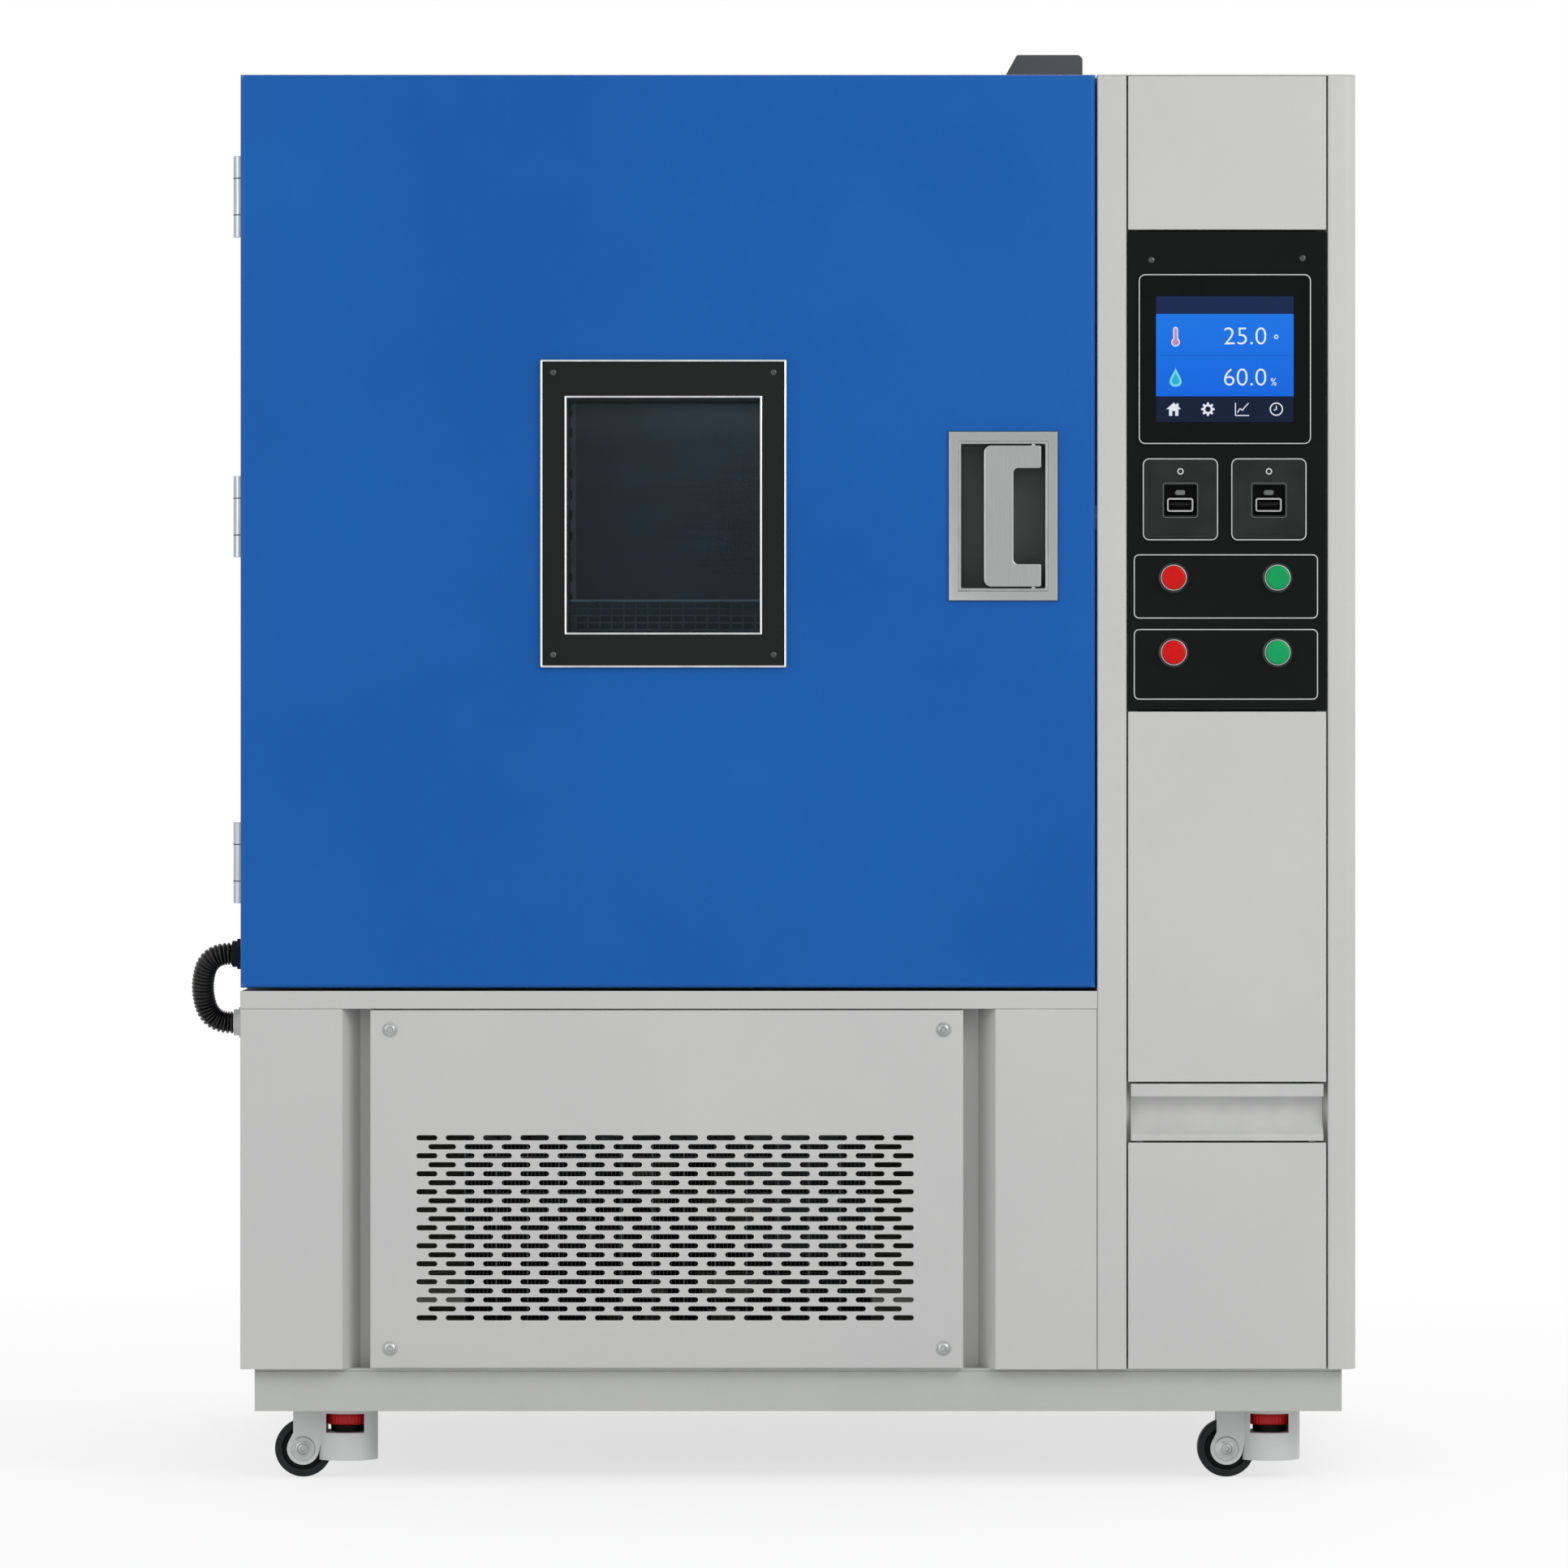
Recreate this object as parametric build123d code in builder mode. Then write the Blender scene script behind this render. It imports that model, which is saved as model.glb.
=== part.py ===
"""Environmental test chamber on levelling casters.

A temperature and humidity cabinet with a hinged blue door on the left, a control column on
the right and a machine compartment below. Millimetres, +Z up, +X to the viewer's right.
The front faces -Y. The origin is on the floor, under the middle of the cabinet.
"""
from build123d import *
from math import cos, pi, radians, sin, tan
import os

os.makedirs("parts", exist_ok=True)

# Cabinet
WIDTH = 1240.0  # left side to right side
DEPTH = 1050.0  # column front to rear panel
HEIGHT = 1565.0  # floor to top
SHEET = 1.5  # steel sheet
SEAM = 1.8  # gap round a removable cover
FIT = 0.3  # standing gap between separate pieces
RUNNING = 0.05  # radial clearance of a shaft in its bore

# Base on casters
BASE_UNDER = 78.5
BASE_H = 47.8
BASE_INSET = 15.0
RAIL_W = 50.0
FLOOR_SHEET = 3.0
CORNER_PLATE = 150.0
CORNER_T = 6.0

# Machine compartment front
LOWER_H = 420.2  # body underside to sill top
SILL_H = 19.8
COVER_LEFT_W = 112.7
COVER_RIGHT_W = 112.7
COVER_SLANT = 18.0  # how far the slanted return runs sideways
COVER_RECESS = 40.0  # depth of the recess beside the grille
GRILLE_LEFT_GAP = 31.6  # from the left cover to the grille panel
GRILLE_RIGHT_GAP = 36.1
SLOT_L = 32.2
SLOT_H = 5.9
SLOT_PITCH = 41.4
ROW_PITCH = 10.0
ROWS = 21
SLOT_FIELD_SIDE = 51.4  # slot field to the panel's left edge
SLOT_FIELD_W = 552.8
SLOT_FIELD_UP = 53.2  # slot field to the panel's lower edge
ROW_SHIFT = 13.3  # each second row starts this much further in
SCREW_INSET = 22.0
SCREW_R = 2.6

# Vents in the rear panel
VENT_W = 120.0
VENT_H = 7.0
VENT_PITCH = 16.0
VENT_ROWS = 9
VENT_UP = 90.0
VENT_SPREAD = 240.0

# Control column
COLUMN_W = 287.7
POST_W = 32.5
STILE_W = 31.6
CORNER_R = 14.0
TRAY_D = 18.0  # depth of the folded cover trays
FLANGE = 12.0  # flange that the trays seat on
UPPER_PANEL_H = 171.0
CONTROL_H = 532.0
CONTROL_RECESS = 2.0
LOWER_PANEL_H = 251.7
DRAWER_H = 64.0

# Door
DOOR_T = 88.0
DOOR_GAP = 3.5  # above the sill
DOOR_SIDE_GAP = 1.8  # to the column
DOOR_EDGE_R = 6.0
GASKET_T = 12.0
GASKET_W = 16.0
GASKET_INSET = 40.0
DOOR_SKIN = 1.2
PLUG_D = 32.0  # how far the inner pan's boss stands off the door
PLUG_CLEAR = 12.0

# Window, measured on the door
WINDOW_W = 213.8
WINDOW_H = 259.7
WINDOW_LEFT = 363.4  # door's left edge to the clear opening
WINDOW_UP = 395.1  # door's lower edge to the clear opening
WINDOW_BORDER_X = 30.1
WINDOW_BORDER_TOP = 43.3
WINDOW_BORDER_FOOT = 39.7
FRAME_PROUD = 4.0
TRIM_W = 3.2
TRIM_PROUD = 2.0
SLEEVE = 1.2
GLASS_T = 6.0

# Handle, measured on the door
PAN_W = 122.6
PAN_H = 189.3
PAN_SIDE = 41.5  # door's free edge to the pan's rim
PAN_UP = 429.4  # door's lower edge to the pan's rim
RIM_W = 14.4
RIM_PROUD = 3.5
PAN_D = 38.0
PAN_WALL = 2.0
GRIP_W = 64.0
GRIP_BAR_W = 33.3
GRIP_ARM_H = 25.6
GRIP_T = 15.0
GRIP_EDGE_GAP = 1.6  # grip to the rim's upper and lower inside edges
GRIP_SIDE_GAP = 4.5
PIVOT_R = 3.0
BOSS_R = 8.5
BOLT_H = 26.0
BOLT_T = 16.0
BOLT_SETBACK = 36.0
BOLT_ROOM = 2.5
BOLT_THROW = 14.0
BOLT_REACH = 11.5  # bolt nose past the door's edge
STUD_L = 14.0
BAR_CORNER_R = 8.0

# Hinges
HINGE_H = 91.0
KNUCKLE_MID = 41.0
KNUCKLE_R = 7.0
PIN_R = 3.0
LEAF_W = 34.0
LEAF_T = 2.0
HINGE_HEIGHTS = (138.1, 526.8, 886.2)  # hinge centres above the door's lower edge

# Chamber
WALL = 100.0
BACK_ROOM = 100.0  # insulation to the rear panel, for the blower motor
PLENUM_D = 150.0
BACK_WALL = 90.0
LINER = 1.5
SHELF_HEIGHTS = (330.0, 620.0)  # above the chamber floor
SHELF_SIDE_GAP = 30.0
SHELF_FRONT_GAP = 30.0  # to the boss on the back of the door
SHELF_BACK_GAP = 20.0
WIRE = 5.0
WIRE_COUNT = 22
RAIL_SPREAD = 260.0
SHELF_RAIL_W = 14.0
SHELF_RAIL_D = 12.0
ARM_T = 4.0
ARM_H = 44.0
ARM_NOSE = 6.0
ARM_SETBACK = 30.0
SHELF_RAIL_INSET = 60.0

# Plenum behind the air baffle
BAFFLE_SLOT_H = 60.0
BAFFLE_EDGE = 40.0
BAFFLE_RIB = 24.0
COIL_T = 70.0
COIL_FINS = 12
COIL_SIDE_GAP = 40.0
COIL_SETBACK = 30.0
COIL_UP = 90.0
FIN_T = 3.0
TUBE_R = 5.0
HEATER_UP = 40.0
HEATER_STRAP_W = 16.0

# Fans
BLOWER_R = 115.0
BLOWER_W = 62.0
BLOWER_DOWN = 225.0  # below the chamber ceiling
BLOWER_ROOM = 45.0  # between the heater and the blower
BLOWER_SETBACK = 18.0
BLOWER_SHAFT_R = 8.0
BLOWER_DISC_T = 3.0
BLOWER_RING_W = 32.0
BLOWER_BLADES = 16
BLOWER_BLADE_L = 26.0
BLOWER_BLADE_T = 2.0
BLOWER_BLADE_TILT = 35.0  # degrees off the radius
BLOWER_HUB_R = 16.0
BLOWER_HUB_L = 20.0
SHAFT_ROOM = 4.0  # hole through the wall, round the shaft
SHAFT_SEAT = 20.0  # length of the shaft inside its motor
MOTOR_R = 55.0
MOTOR_L = 80.0
FAN_R = 105.0
FAN_SHAFT_R = 5.0
FAN_BLADES = 5
FAN_BLADE_T = 2.0
FAN_BLADE_W = 44.0
FAN_BLADE_TILT = 28.0  # degrees off the fan's disc
FAN_HUB_R = 24.0
FAN_HUB_L = 20.0
FAN_TIP_GAP = 4.0
FAN_SHAFT_SEAT = 14.0
FAN_MOTOR_R = 38.0
FAN_MOTOR_L = 60.0

# Refrigeration
CONDENSER_W = 460.0
CONDENSER_H = 250.0
CONDENSER_T = 66.0
CONDENSER_SETBACK = 75.0  # behind the grille panel's flange
FIN_COUNT = 14
TUBE_ROWS = 6
SHROUD_T = 40.0
SHROUD_SHEET = 2.0
MOTOR_STRAP_W = 16.0
MOTOR_SEAT = 6.0  # how far the strap laps over the motor's end
COMPRESSOR_R = 72.0
COMPRESSOR_H = 210.0
COMPRESSOR_LEFT = 125.0  # left of the grille panel's middle
COMPRESSOR_Y = 150.0
COMPRESSOR_PLATE_T = 4.0
COMPRESSOR_PAD_H = 18.0
COMPRESSOR_PAD_R = 11.0

# Control panel fittings, measured from the panel's left and lower edges
SCREEN_W = 191.2
SCREEN_H = 188.5
SCREEN_LEFT = 11.7
SCREEN_UP = 295.5
SCREEN_PROUD = 3.5
SCREEN_R = 7.0
SCREEN_BEZEL = 12.0
SCREEN_BODY_D = 26.0
GLASS_SINK = 0.8
GLASS_W = 153.4
GLASS_H = 140.6
PORT_W = 83.5
PORT_H = 91.0
PORT_LEFTS = (16.2, 114.5)
PORT_UP = 188.5
PORT_PROUD = 3.0
SOCKET_W = 36.0
SOCKET_H = 34.0
SOCKET_D = 22.0
BUTTON_XS = (50.5, 165.9)
BUTTON_ZS = (64.0, 147.0)
BUTTON_NAMES = (("alarm", "light"), ("power", "run"))
CAP_R = 13.2
CAP_T = 6.0
CAP_PROUD = 5.5
CAP_EDGE_R = 1.5
COLLAR_R = 15.5
COLLAR_PROUD = 5.0
COLLAR_FLOOR = 0.6
BARREL_R = 11.0
BARREL_L = 26.0
STEM_R = 6.0
BUTTON_TRAVEL = 3.5

# Water drawer
DRAWER_GAP = 3.0
DRAWER_LIP = 14.4
DRAWER_FOOT = 7.0
DRAWER_SCOOP = 14.5
DRAWER_L = 210.0
DRAWER_WALL = 2.0
RUNNER_T = 3.0
RUNNER_W = 18.0

# Vent cap on the top panel
HOOD_LEFT = 848.0  # cabinet's left side to the cap
HOOD_W = 93.0
HOOD_D = 120.0
HOOD_H = 34.0
HOOD_SLOPE = 19.0
HOOD_SETBACK = 25.0
HOOD_FOLD = 4.0

# Hose between door and machine compartment
HOSE_D = 25.0
GLAND_R = 17.0
GLAND_L = 12.0

# Levelling casters
WHEEL_R = 32.0
WHEEL_W = 25.0
WHEEL_OFFSET = 49.0
AXLE_R = 4.0
DRUM_R = 34.0
DRUM_LOW = 19.8
DRUM_TOP = 50.5
NECK_TOP = 72.0
ARM_GAP = 1.5
FORK_T = 4.0
FORK_R = 18.0
KING_R = 8.0
THUMB_R = 24.0
THUMB_Z = 58.6
THUMB_H = 12.6
NUT_R = 18.0
FOOT_R = 13.4
FOOT_T = 11.0
SCREW_STEM_R = 6.0
CASTER_LEFT = 99.5  # base frame's left end to the swivel axis
CASTER_RIGHT = 76.1
CASTER_END = 70.0  # base frame's front and back to the swivel axis
CASTER_SIDES = ("left", "right")
CASTER_ENDS = ("front", "rear")

# Planes and edges worked out from the sizes above
left, right = -WIDTH / 2, WIDTH / 2
front, back = -DEPTH / 2, DEPTH / 2
body_z = BASE_UNDER + BASE_H
sill_top = body_z + LOWER_H
under_top = HEIGHT - SHEET
column_x = right - COLUMN_W
door_x = (left, column_x - DOOR_SIDE_GAP)
door_z = (sill_top + DOOR_GAP, HEIGHT)
door_back = front + DOOR_T
box_front = door_back + GASKET_T
chamber_x = (left + WALL, column_x - WALL)
chamber_z = (door_z[0] + WALL, HEIGHT - WALL)
box_back = back - BACK_ROOM
chamber_back = box_back - BACK_WALL
baffle_y = chamber_back - PLENUM_D
tray_back = front + TRAY_D
panel_x = (column_x + POST_W + SEAM, right - STILE_W - SEAM)
upper_z = (under_top - UPPER_PANEL_H, under_top - FIT)
control_z = (upper_z[0] - SEAM - CONTROL_H, upper_z[0] - SEAM)
lower_z = (body_z + FIT, body_z + LOWER_PANEL_H)
drawer_z = (lower_z[1] + SEAM, lower_z[1] + SEAM + DRAWER_H)
middle_z = (drawer_z[1] + SEAM, control_z[0] - SEAM)
control_y = front + CONTROL_RECESS
hinge_x = left - KNUCKLE_R - 0.4
hinge_y = box_front - GASKET_T / 2


def middle(pair):
    """The value halfway between two."""
    return (pair[0] + pair[1]) / 2


def block(x, y, z, mode=Mode.ADD):
    """A box between the low and high values of each axis, in the part being built."""
    with Locations((middle(x), middle(y), middle(z))):
        Box(x[1] - x[0], y[1] - y[0], z[1] - z[0], mode=mode)


def facing(y):
    """The plane at that depth whose sketch axes are X and Z; extrude runs to the front."""
    return Plane.XZ.offset(-y)


def window(x, z, radius=0.0, mode=Mode.ADD):
    """A rectangle between the low and high values, square or with rounded corners."""
    with Locations((middle(x), middle(z))):
        if radius:
            RectangleRounded(x[1] - x[0], z[1] - z[0], radius, mode=mode)
        else:
            Rectangle(x[1] - x[0], z[1] - z[0], mode=mode)


def grown(pair, amount):
    """A low and high value moved apart by amount at each end."""
    return (pair[0] - amount, pair[1] + amount)


def tray(x, z, y=front):
    """A cover folded from sheet: a face at y and four edges turned back to the flanges."""
    block(x, (y, tray_back), z)
    block(grown(x, -SHEET), (y + SHEET, tray_back), grown(z, -SHEET), Mode.SUBTRACT)


def folded(points, z, radius=SHEET):
    """Sheet bent along a line seen from above, between two heights."""
    with BuildSketch(Plane.XY.offset(z[0])) as section:
        with BuildLine() as path:
            FilletPolyline(*points, radius=radius)
        trace(path.line, line_width=SHEET)
    extrude(section.sketch, amount=z[1] - z[0])


def add_gland(y, z):
    """A hexagonal gland with a round nose, standing out of the cabinet's left side."""
    for profile, length in ((RegularPolygon, GLAND_L * 0.55), (Circle, GLAND_L)):
        with BuildSketch(Plane(origin=(left, y, z), z_dir=(-1, 0, 0))) as section:
            if profile is RegularPolygon:
                RegularPolygon(GLAND_R, 6)
            else:
                Circle(GLAND_R * 0.86)
        extrude(section.sketch, amount=length)


# Base frame: rails, cross rails, floor sheet and four corner plates with king pins
base_x, base_y = grown((left, right), -BASE_INSET), grown((front, back), -BASE_INSET)
caster_xs = (base_x[0] + CASTER_LEFT, base_x[1] - CASTER_RIGHT)
caster_ys = grown(base_y, -CASTER_END)
rail_z = (BASE_UNDER, body_z - FLOOR_SHEET - FIT)
with BuildPart() as base_frame:
    for side in (-1, 1):
        rail_y = sorted((side * base_y[1], side * (base_y[1] - RAIL_W)))
        block(base_x, rail_y, rail_z)
        rail_x = sorted((side * base_x[1], side * (base_x[1] - RAIL_W)))
        block(rail_x, grown(base_y, -RAIL_W - FIT), rail_z)
    for cross in (-1, 1):
        cross_x = cross * base_x[1] / 3
        block(grown((cross_x, cross_x), RAIL_W / 2), grown(base_y, -RAIL_W - FIT), rail_z)
    block(base_x, base_y, (body_z - FLOOR_SHEET, body_z))
    for x in caster_xs:
        for y in caster_ys:
            inner_x = (max(x - CORNER_PLATE / 2, base_x[0] + RAIL_W + FIT),
                       min(x + CORNER_PLATE / 2, base_x[1] - RAIL_W - FIT))
            inner_y = (max(y - CORNER_PLATE / 2, base_y[0] + RAIL_W + FIT),
                       min(y + CORNER_PLATE / 2, base_y[1] - RAIL_W - FIT))
            block(inner_x, inner_y, (BASE_UNDER, BASE_UNDER + CORNER_T))
            pin_foot = NECK_TOP + FIT
            with Locations((x, y, (pin_foot + BASE_UNDER) / 2)):
                Cylinder(KING_R, BASE_UNDER - pin_foot)
base_frame.part.label = "base_frame"
export_step(base_frame.part, "parts/base_frame.step")

# Right side with its rounded front corner, left side with the top, and rear panel
half = SHEET / 2
with BuildPart() as right_side_panel:
    folded(
        [
            (right - STILE_W - FLANGE, tray_back + half),
            (right - STILE_W + half, tray_back + half),
            (right - STILE_W + half, front + half),
            (right - half, front + half),
            (right - half, back - SHEET - FIT),
        ],
        (body_z, under_top),
        [SHEET, SHEET, CORNER_R - half],
    )
right_side_panel.part.label = "right_side_panel"
export_step(right_side_panel.part, "parts/right_side_panel.step")

with BuildPart() as outer_shell:
    block((left, left + SHEET), (box_front, back - SHEET - FIT), (body_z, under_top - FIT))
    with BuildSketch(Plane.XY.offset(under_top)):
        with BuildLine():
            Polyline(
                (right, back), (left, back), (left, box_front), (column_x, box_front),
                (column_x, front), (right - CORNER_R, front),
            )
            RadiusArc((right - CORNER_R, front), (right, front + CORNER_R), -CORNER_R)
            Line((right, front + CORNER_R), (right, back))
        make_face()
    extrude(amount=SHEET)
outer_shell.part.label = "outer_shell"
export_step(outer_shell.part, "parts/outer_shell.step")

with BuildPart() as rear_panel:
    with BuildSketch(facing(back)):
        window((left, right), (body_z, under_top))
        with Locations((0, body_z + VENT_UP + VENT_PITCH * VENT_ROWS / 2)):
            with GridLocations(VENT_SPREAD, VENT_PITCH, 3, VENT_ROWS):
                Rectangle(VENT_W, VENT_H, mode=Mode.SUBTRACT)
    extrude(amount=SHEET)
rear_panel.part.label = "rear_panel"
export_step(rear_panel.part, "parts/rear_panel.step")

# Control column: post beside the door, cover trays and recessed control panel
bolt_z = middle((door_z[0] + PAN_UP, door_z[0] + PAN_UP + PAN_H))
bolt_z = (bolt_z - BOLT_H / 2, bolt_z + BOLT_H / 2)
bolt_y = (front + BOLT_SETBACK, front + BOLT_SETBACK + BOLT_T)
with BuildPart() as column_post:
    folded(
        [
            (column_x + half, box_front),
            (column_x + half, front + half),
            (column_x + POST_W - half, front + half),
            (column_x + POST_W - half, tray_back + half),
            (column_x + POST_W + FLANGE, tray_back + half),
        ],
        (body_z, under_top),
    )
    block((column_x - SHEET, column_x + 2 * SHEET), grown(bolt_y, BOLT_ROOM),
          grown(bolt_z, BOLT_ROOM), Mode.SUBTRACT)
column_post.part.label = "column_post"
export_step(column_post.part, "parts/column_post.step")

with BuildPart() as column_panels:
    for panel_z in (upper_z, middle_z, lower_z):
        tray(panel_x, panel_z)
column_panels.part.label = "column_panels"
export_step(column_panels.part, "parts/column_panels.step")

control_left, control_low = panel_x[0], control_z[0]
screen_x = (control_left + SCREEN_LEFT, control_left + SCREEN_LEFT + SCREEN_W)
screen_z = (control_low + SCREEN_UP, control_low + SCREEN_UP + SCREEN_H)
port_z = (control_low + PORT_UP, control_low + PORT_UP + PORT_H)
port_xs = [(control_left + x, control_left + x + PORT_W) for x in PORT_LEFTS]
socket_z = grown((middle(port_z) - 1, middle(port_z) - 1), SOCKET_H / 2)
with BuildPart() as control_panel:
    tray(panel_x, control_z, control_y)
    with BuildSketch(facing(control_y + 2 * SHEET)):
        window(grown(screen_x, -SCREEN_BEZEL), grown(screen_z, -SCREEN_BEZEL))
        for port_x in port_xs:
            socket_x = grown((middle(port_x), middle(port_x)), SOCKET_W / 2 + SHEET + FIT)
            window(socket_x, grown(socket_z, SHEET + FIT))
        for x in BUTTON_XS:
            for z in BUTTON_ZS:
                with Locations((control_left + x, control_low + z)):
                    Circle(BARREL_R + FIT)
    extrude(amount=4 * SHEET, mode=Mode.SUBTRACT)
control_panel.part.label = "control_panel"
export_step(control_panel.part, "parts/control_panel.step")

with BuildPart() as touchscreen:
    with BuildSketch(facing(control_y)):
        window(screen_x, screen_z, SCREEN_R)
    extrude(amount=SCREEN_PROUD)
    block(grown(screen_x, -SCREEN_BEZEL - FIT), (control_y, control_y + SCREEN_BODY_D),
          grown(screen_z, -SCREEN_BEZEL - FIT))
    glass_x = grown((middle(screen_x), middle(screen_x)), GLASS_W / 2)
    glass_z = grown((middle(screen_z), middle(screen_z)), GLASS_H / 2)
    with BuildSketch(facing(control_y - SCREEN_PROUD)):
        window(glass_x, glass_z)
    extrude(amount=-GLASS_SINK, mode=Mode.SUBTRACT)
touchscreen.part.label = "touchscreen"
export_step(touchscreen.part, "parts/touchscreen.step")

with BuildPart() as port_modules:
    for port_x in port_xs:
        socket_x = grown((middle(port_x), middle(port_x)), SOCKET_W / 2)
        with BuildSketch(facing(control_y)):
            window(port_x, port_z, SCREEN_R)
        extrude(amount=PORT_PROUD)
        block(grown(socket_x, SHEET), (control_y, control_y + SOCKET_D + SHEET),
              grown(socket_z, SHEET))
        block(socket_x, (control_y - PORT_PROUD, control_y + SOCKET_D), socket_z, Mode.SUBTRACT)
port_modules.part.label = "port_modules"
export_step(port_modules.part, "parts/port_modules.step")

button_points = [
    (name, control_left + x, control_low + z)
    for names, z in zip(BUTTON_NAMES, BUTTON_ZS)
    for name, x in zip(names, BUTTON_XS)
]
with BuildPart() as button_collars:
    for name, x, z in button_points:
        with BuildSketch(facing(control_y)):
            with Locations((x, z)):
                Circle(COLLAR_R)
                Circle(CAP_R + RUNNING, mode=Mode.SUBTRACT)
        extrude(amount=COLLAR_PROUD)
        with BuildSketch(facing(control_y)):
            with Locations((x, z)):
                Circle(COLLAR_R)
                Circle(STEM_R + RUNNING, mode=Mode.SUBTRACT)
        extrude(amount=COLLAR_FLOOR)
        with BuildSketch(facing(control_y + BARREL_L)):
            with Locations((x, z)):
                Circle(BARREL_R)
                Circle(STEM_R + RUNNING, mode=Mode.SUBTRACT)
        extrude(amount=BARREL_L)
button_collars.part.label = "button_collars"
export_step(button_collars.part, "parts/button_collars.step")

cap_front = control_y - COLLAR_PROUD - CAP_PROUD
for name, x, z in button_points:
    with BuildPart() as push_button:
        with BuildSketch(facing(cap_front + CAP_T)):
            with Locations((x, z)):
                Circle(CAP_R)
        extrude(amount=CAP_T)
        rim = push_button.faces().sort_by(Axis.Y)[0].edges()
        fillet(rim, CAP_EDGE_R)
        with BuildSketch(facing(control_y + BARREL_L - BUTTON_TRAVEL - FIT)):
            with Locations((x, z)):
                Circle(STEM_R)
        extrude(until=Until.NEXT)
    push_button.part.label = f"{name}_button"
    export_step(push_button.part, f"parts/{name}_button.step")

# Water drawer with a scooped front, on two fixed runners
drawer_x = grown(panel_x, -DRAWER_GAP)
front_z = grown(drawer_z, -FIT)
tub_room = grown(panel_x, SEAM - FLANGE - 2 * FIT)
tub_top = drawer_z[1] - DRAWER_LIP
tub_y = (tray_back - FIT, tray_back - FIT + DRAWER_L)
with BuildPart() as water_drawer:
    with BuildSketch(Plane.YZ.offset(drawer_x[0])):
        with BuildLine():
            Polyline(
                (front + DRAWER_SCOOP, front_z[1] - DRAWER_LIP), (front, front_z[1] - DRAWER_LIP),
                (front, front_z[1]), (tub_y[0], front_z[1]), (tub_y[0], front_z[0]),
                (front, front_z[0]), (front, front_z[0] + DRAWER_FOOT),
            )
            RadiusArc((front, front_z[0] + DRAWER_FOOT),
                      (front + DRAWER_SCOOP, front_z[1] - DRAWER_LIP), -DRAWER_H * 0.62)
        make_face()
    extrude(amount=drawer_x[1] - drawer_x[0])
    block(tub_room, tub_y, (front_z[0], tub_top))
    block(grown(tub_room, -DRAWER_WALL), grown(tub_y, -DRAWER_WALL),
          (front_z[0] + DRAWER_WALL, HEIGHT), Mode.SUBTRACT)
water_drawer.part.label = "water_drawer"
export_step(water_drawer.part, "parts/water_drawer.step")

runner_y = (tray_back + SHEET + FIT, tub_y[1] + RUNNER_W)
with BuildPart() as drawer_runners:
    for side, x in ((1, panel_x[0]), (-1, panel_x[1])):
        web_x = sorted((x, x + side * RUNNER_T))
        shelf_x = sorted((x, x + side * RUNNER_W))
        block(web_x, runner_y, (front_z[0] - RUNNER_T - FIT, tub_top))
        block(shelf_x, runner_y, (front_z[0] - RUNNER_T - FIT, front_z[0] - FIT))
drawer_runners.part.label = "drawer_runners"
export_step(drawer_runners.part, "parts/drawer_runners.step")

# Machine compartment front: sill, side covers and the slotted grille
with BuildPart() as sill_rail:
    block((left, column_x), (front, box_front), (sill_top - SILL_H, sill_top))
    block((left + SHEET, column_x - SHEET), (front + SHEET, box_front),
          (sill_top - SILL_H - 1, sill_top - SHEET), Mode.SUBTRACT)
sill_rail.part.label = "sill_rail"
export_step(sill_rail.part, "parts/sill_rail.step")

cover_z = (body_z, sill_top - SILL_H - FIT)
left_cover_x, right_cover_x = left + COVER_LEFT_W, column_x - COVER_RIGHT_W
grille_x = (left_cover_x + GRILLE_LEFT_GAP, right_cover_x - GRILLE_RIGHT_GAP)
grille_z = grown(cover_z, -1.0)
grille_back = front + COVER_RECESS
# Route of the hose from the door's gland to the gland on the left cover
hose_out = left - GLAND_L
hose_top = door_z[0] + 36.6
hose_low = sill_top - SILL_H - 17.2
route = [
    (hose_out, front + 48, hose_top),
    (hose_out - 21, front + 48, hose_top),
    (hose_out - 36, front + 53, hose_top - 19),
    (hose_out - 36, front + 67, hose_low + 19),
    (hose_out - 21, front + 72, hose_low),
    (hose_out, front + 72, hose_low),
]
with BuildPart() as lower_covers:
    folded(
        [
            (left + half, box_front - FIT), (left + half, front + half),
            (left_cover_x, front + half), (left_cover_x + COVER_SLANT, grille_back + half),
            (grille_x[0] + SCREW_INSET * 2, grille_back + half),
        ],
        cover_z,
    )
    folded(
        [
            (column_x - half - FIT, box_front - FIT), (column_x - half - FIT, front + half),
            (right_cover_x, front + half), (right_cover_x - COVER_SLANT, grille_back + half),
            (grille_x[1] - SCREW_INSET * 2, grille_back + half),
        ],
        cover_z,
    )
    add_gland(*route[-1][1:])
lower_covers.part.label = "lower_covers"
export_step(lower_covers.part, "parts/lower_covers.step")


def slot_row(reach, start):
    """How many whole slots fit a row that reaches so far each side, and its end slots.

    Slots stand a pitch apart from start each side of the middle. Gives the count of whole ones
    and the centre and length of the cut-off slot at each end.
    """
    whole = 0
    while start + whole * SLOT_PITCH + SLOT_L / 2 <= reach:
        whole += 1
    low = start + whole * SLOT_PITCH - SLOT_L / 2
    count = 2 * whole if start else 2 * whole - 1
    return count, (low + reach) / 2, reach - low


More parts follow.
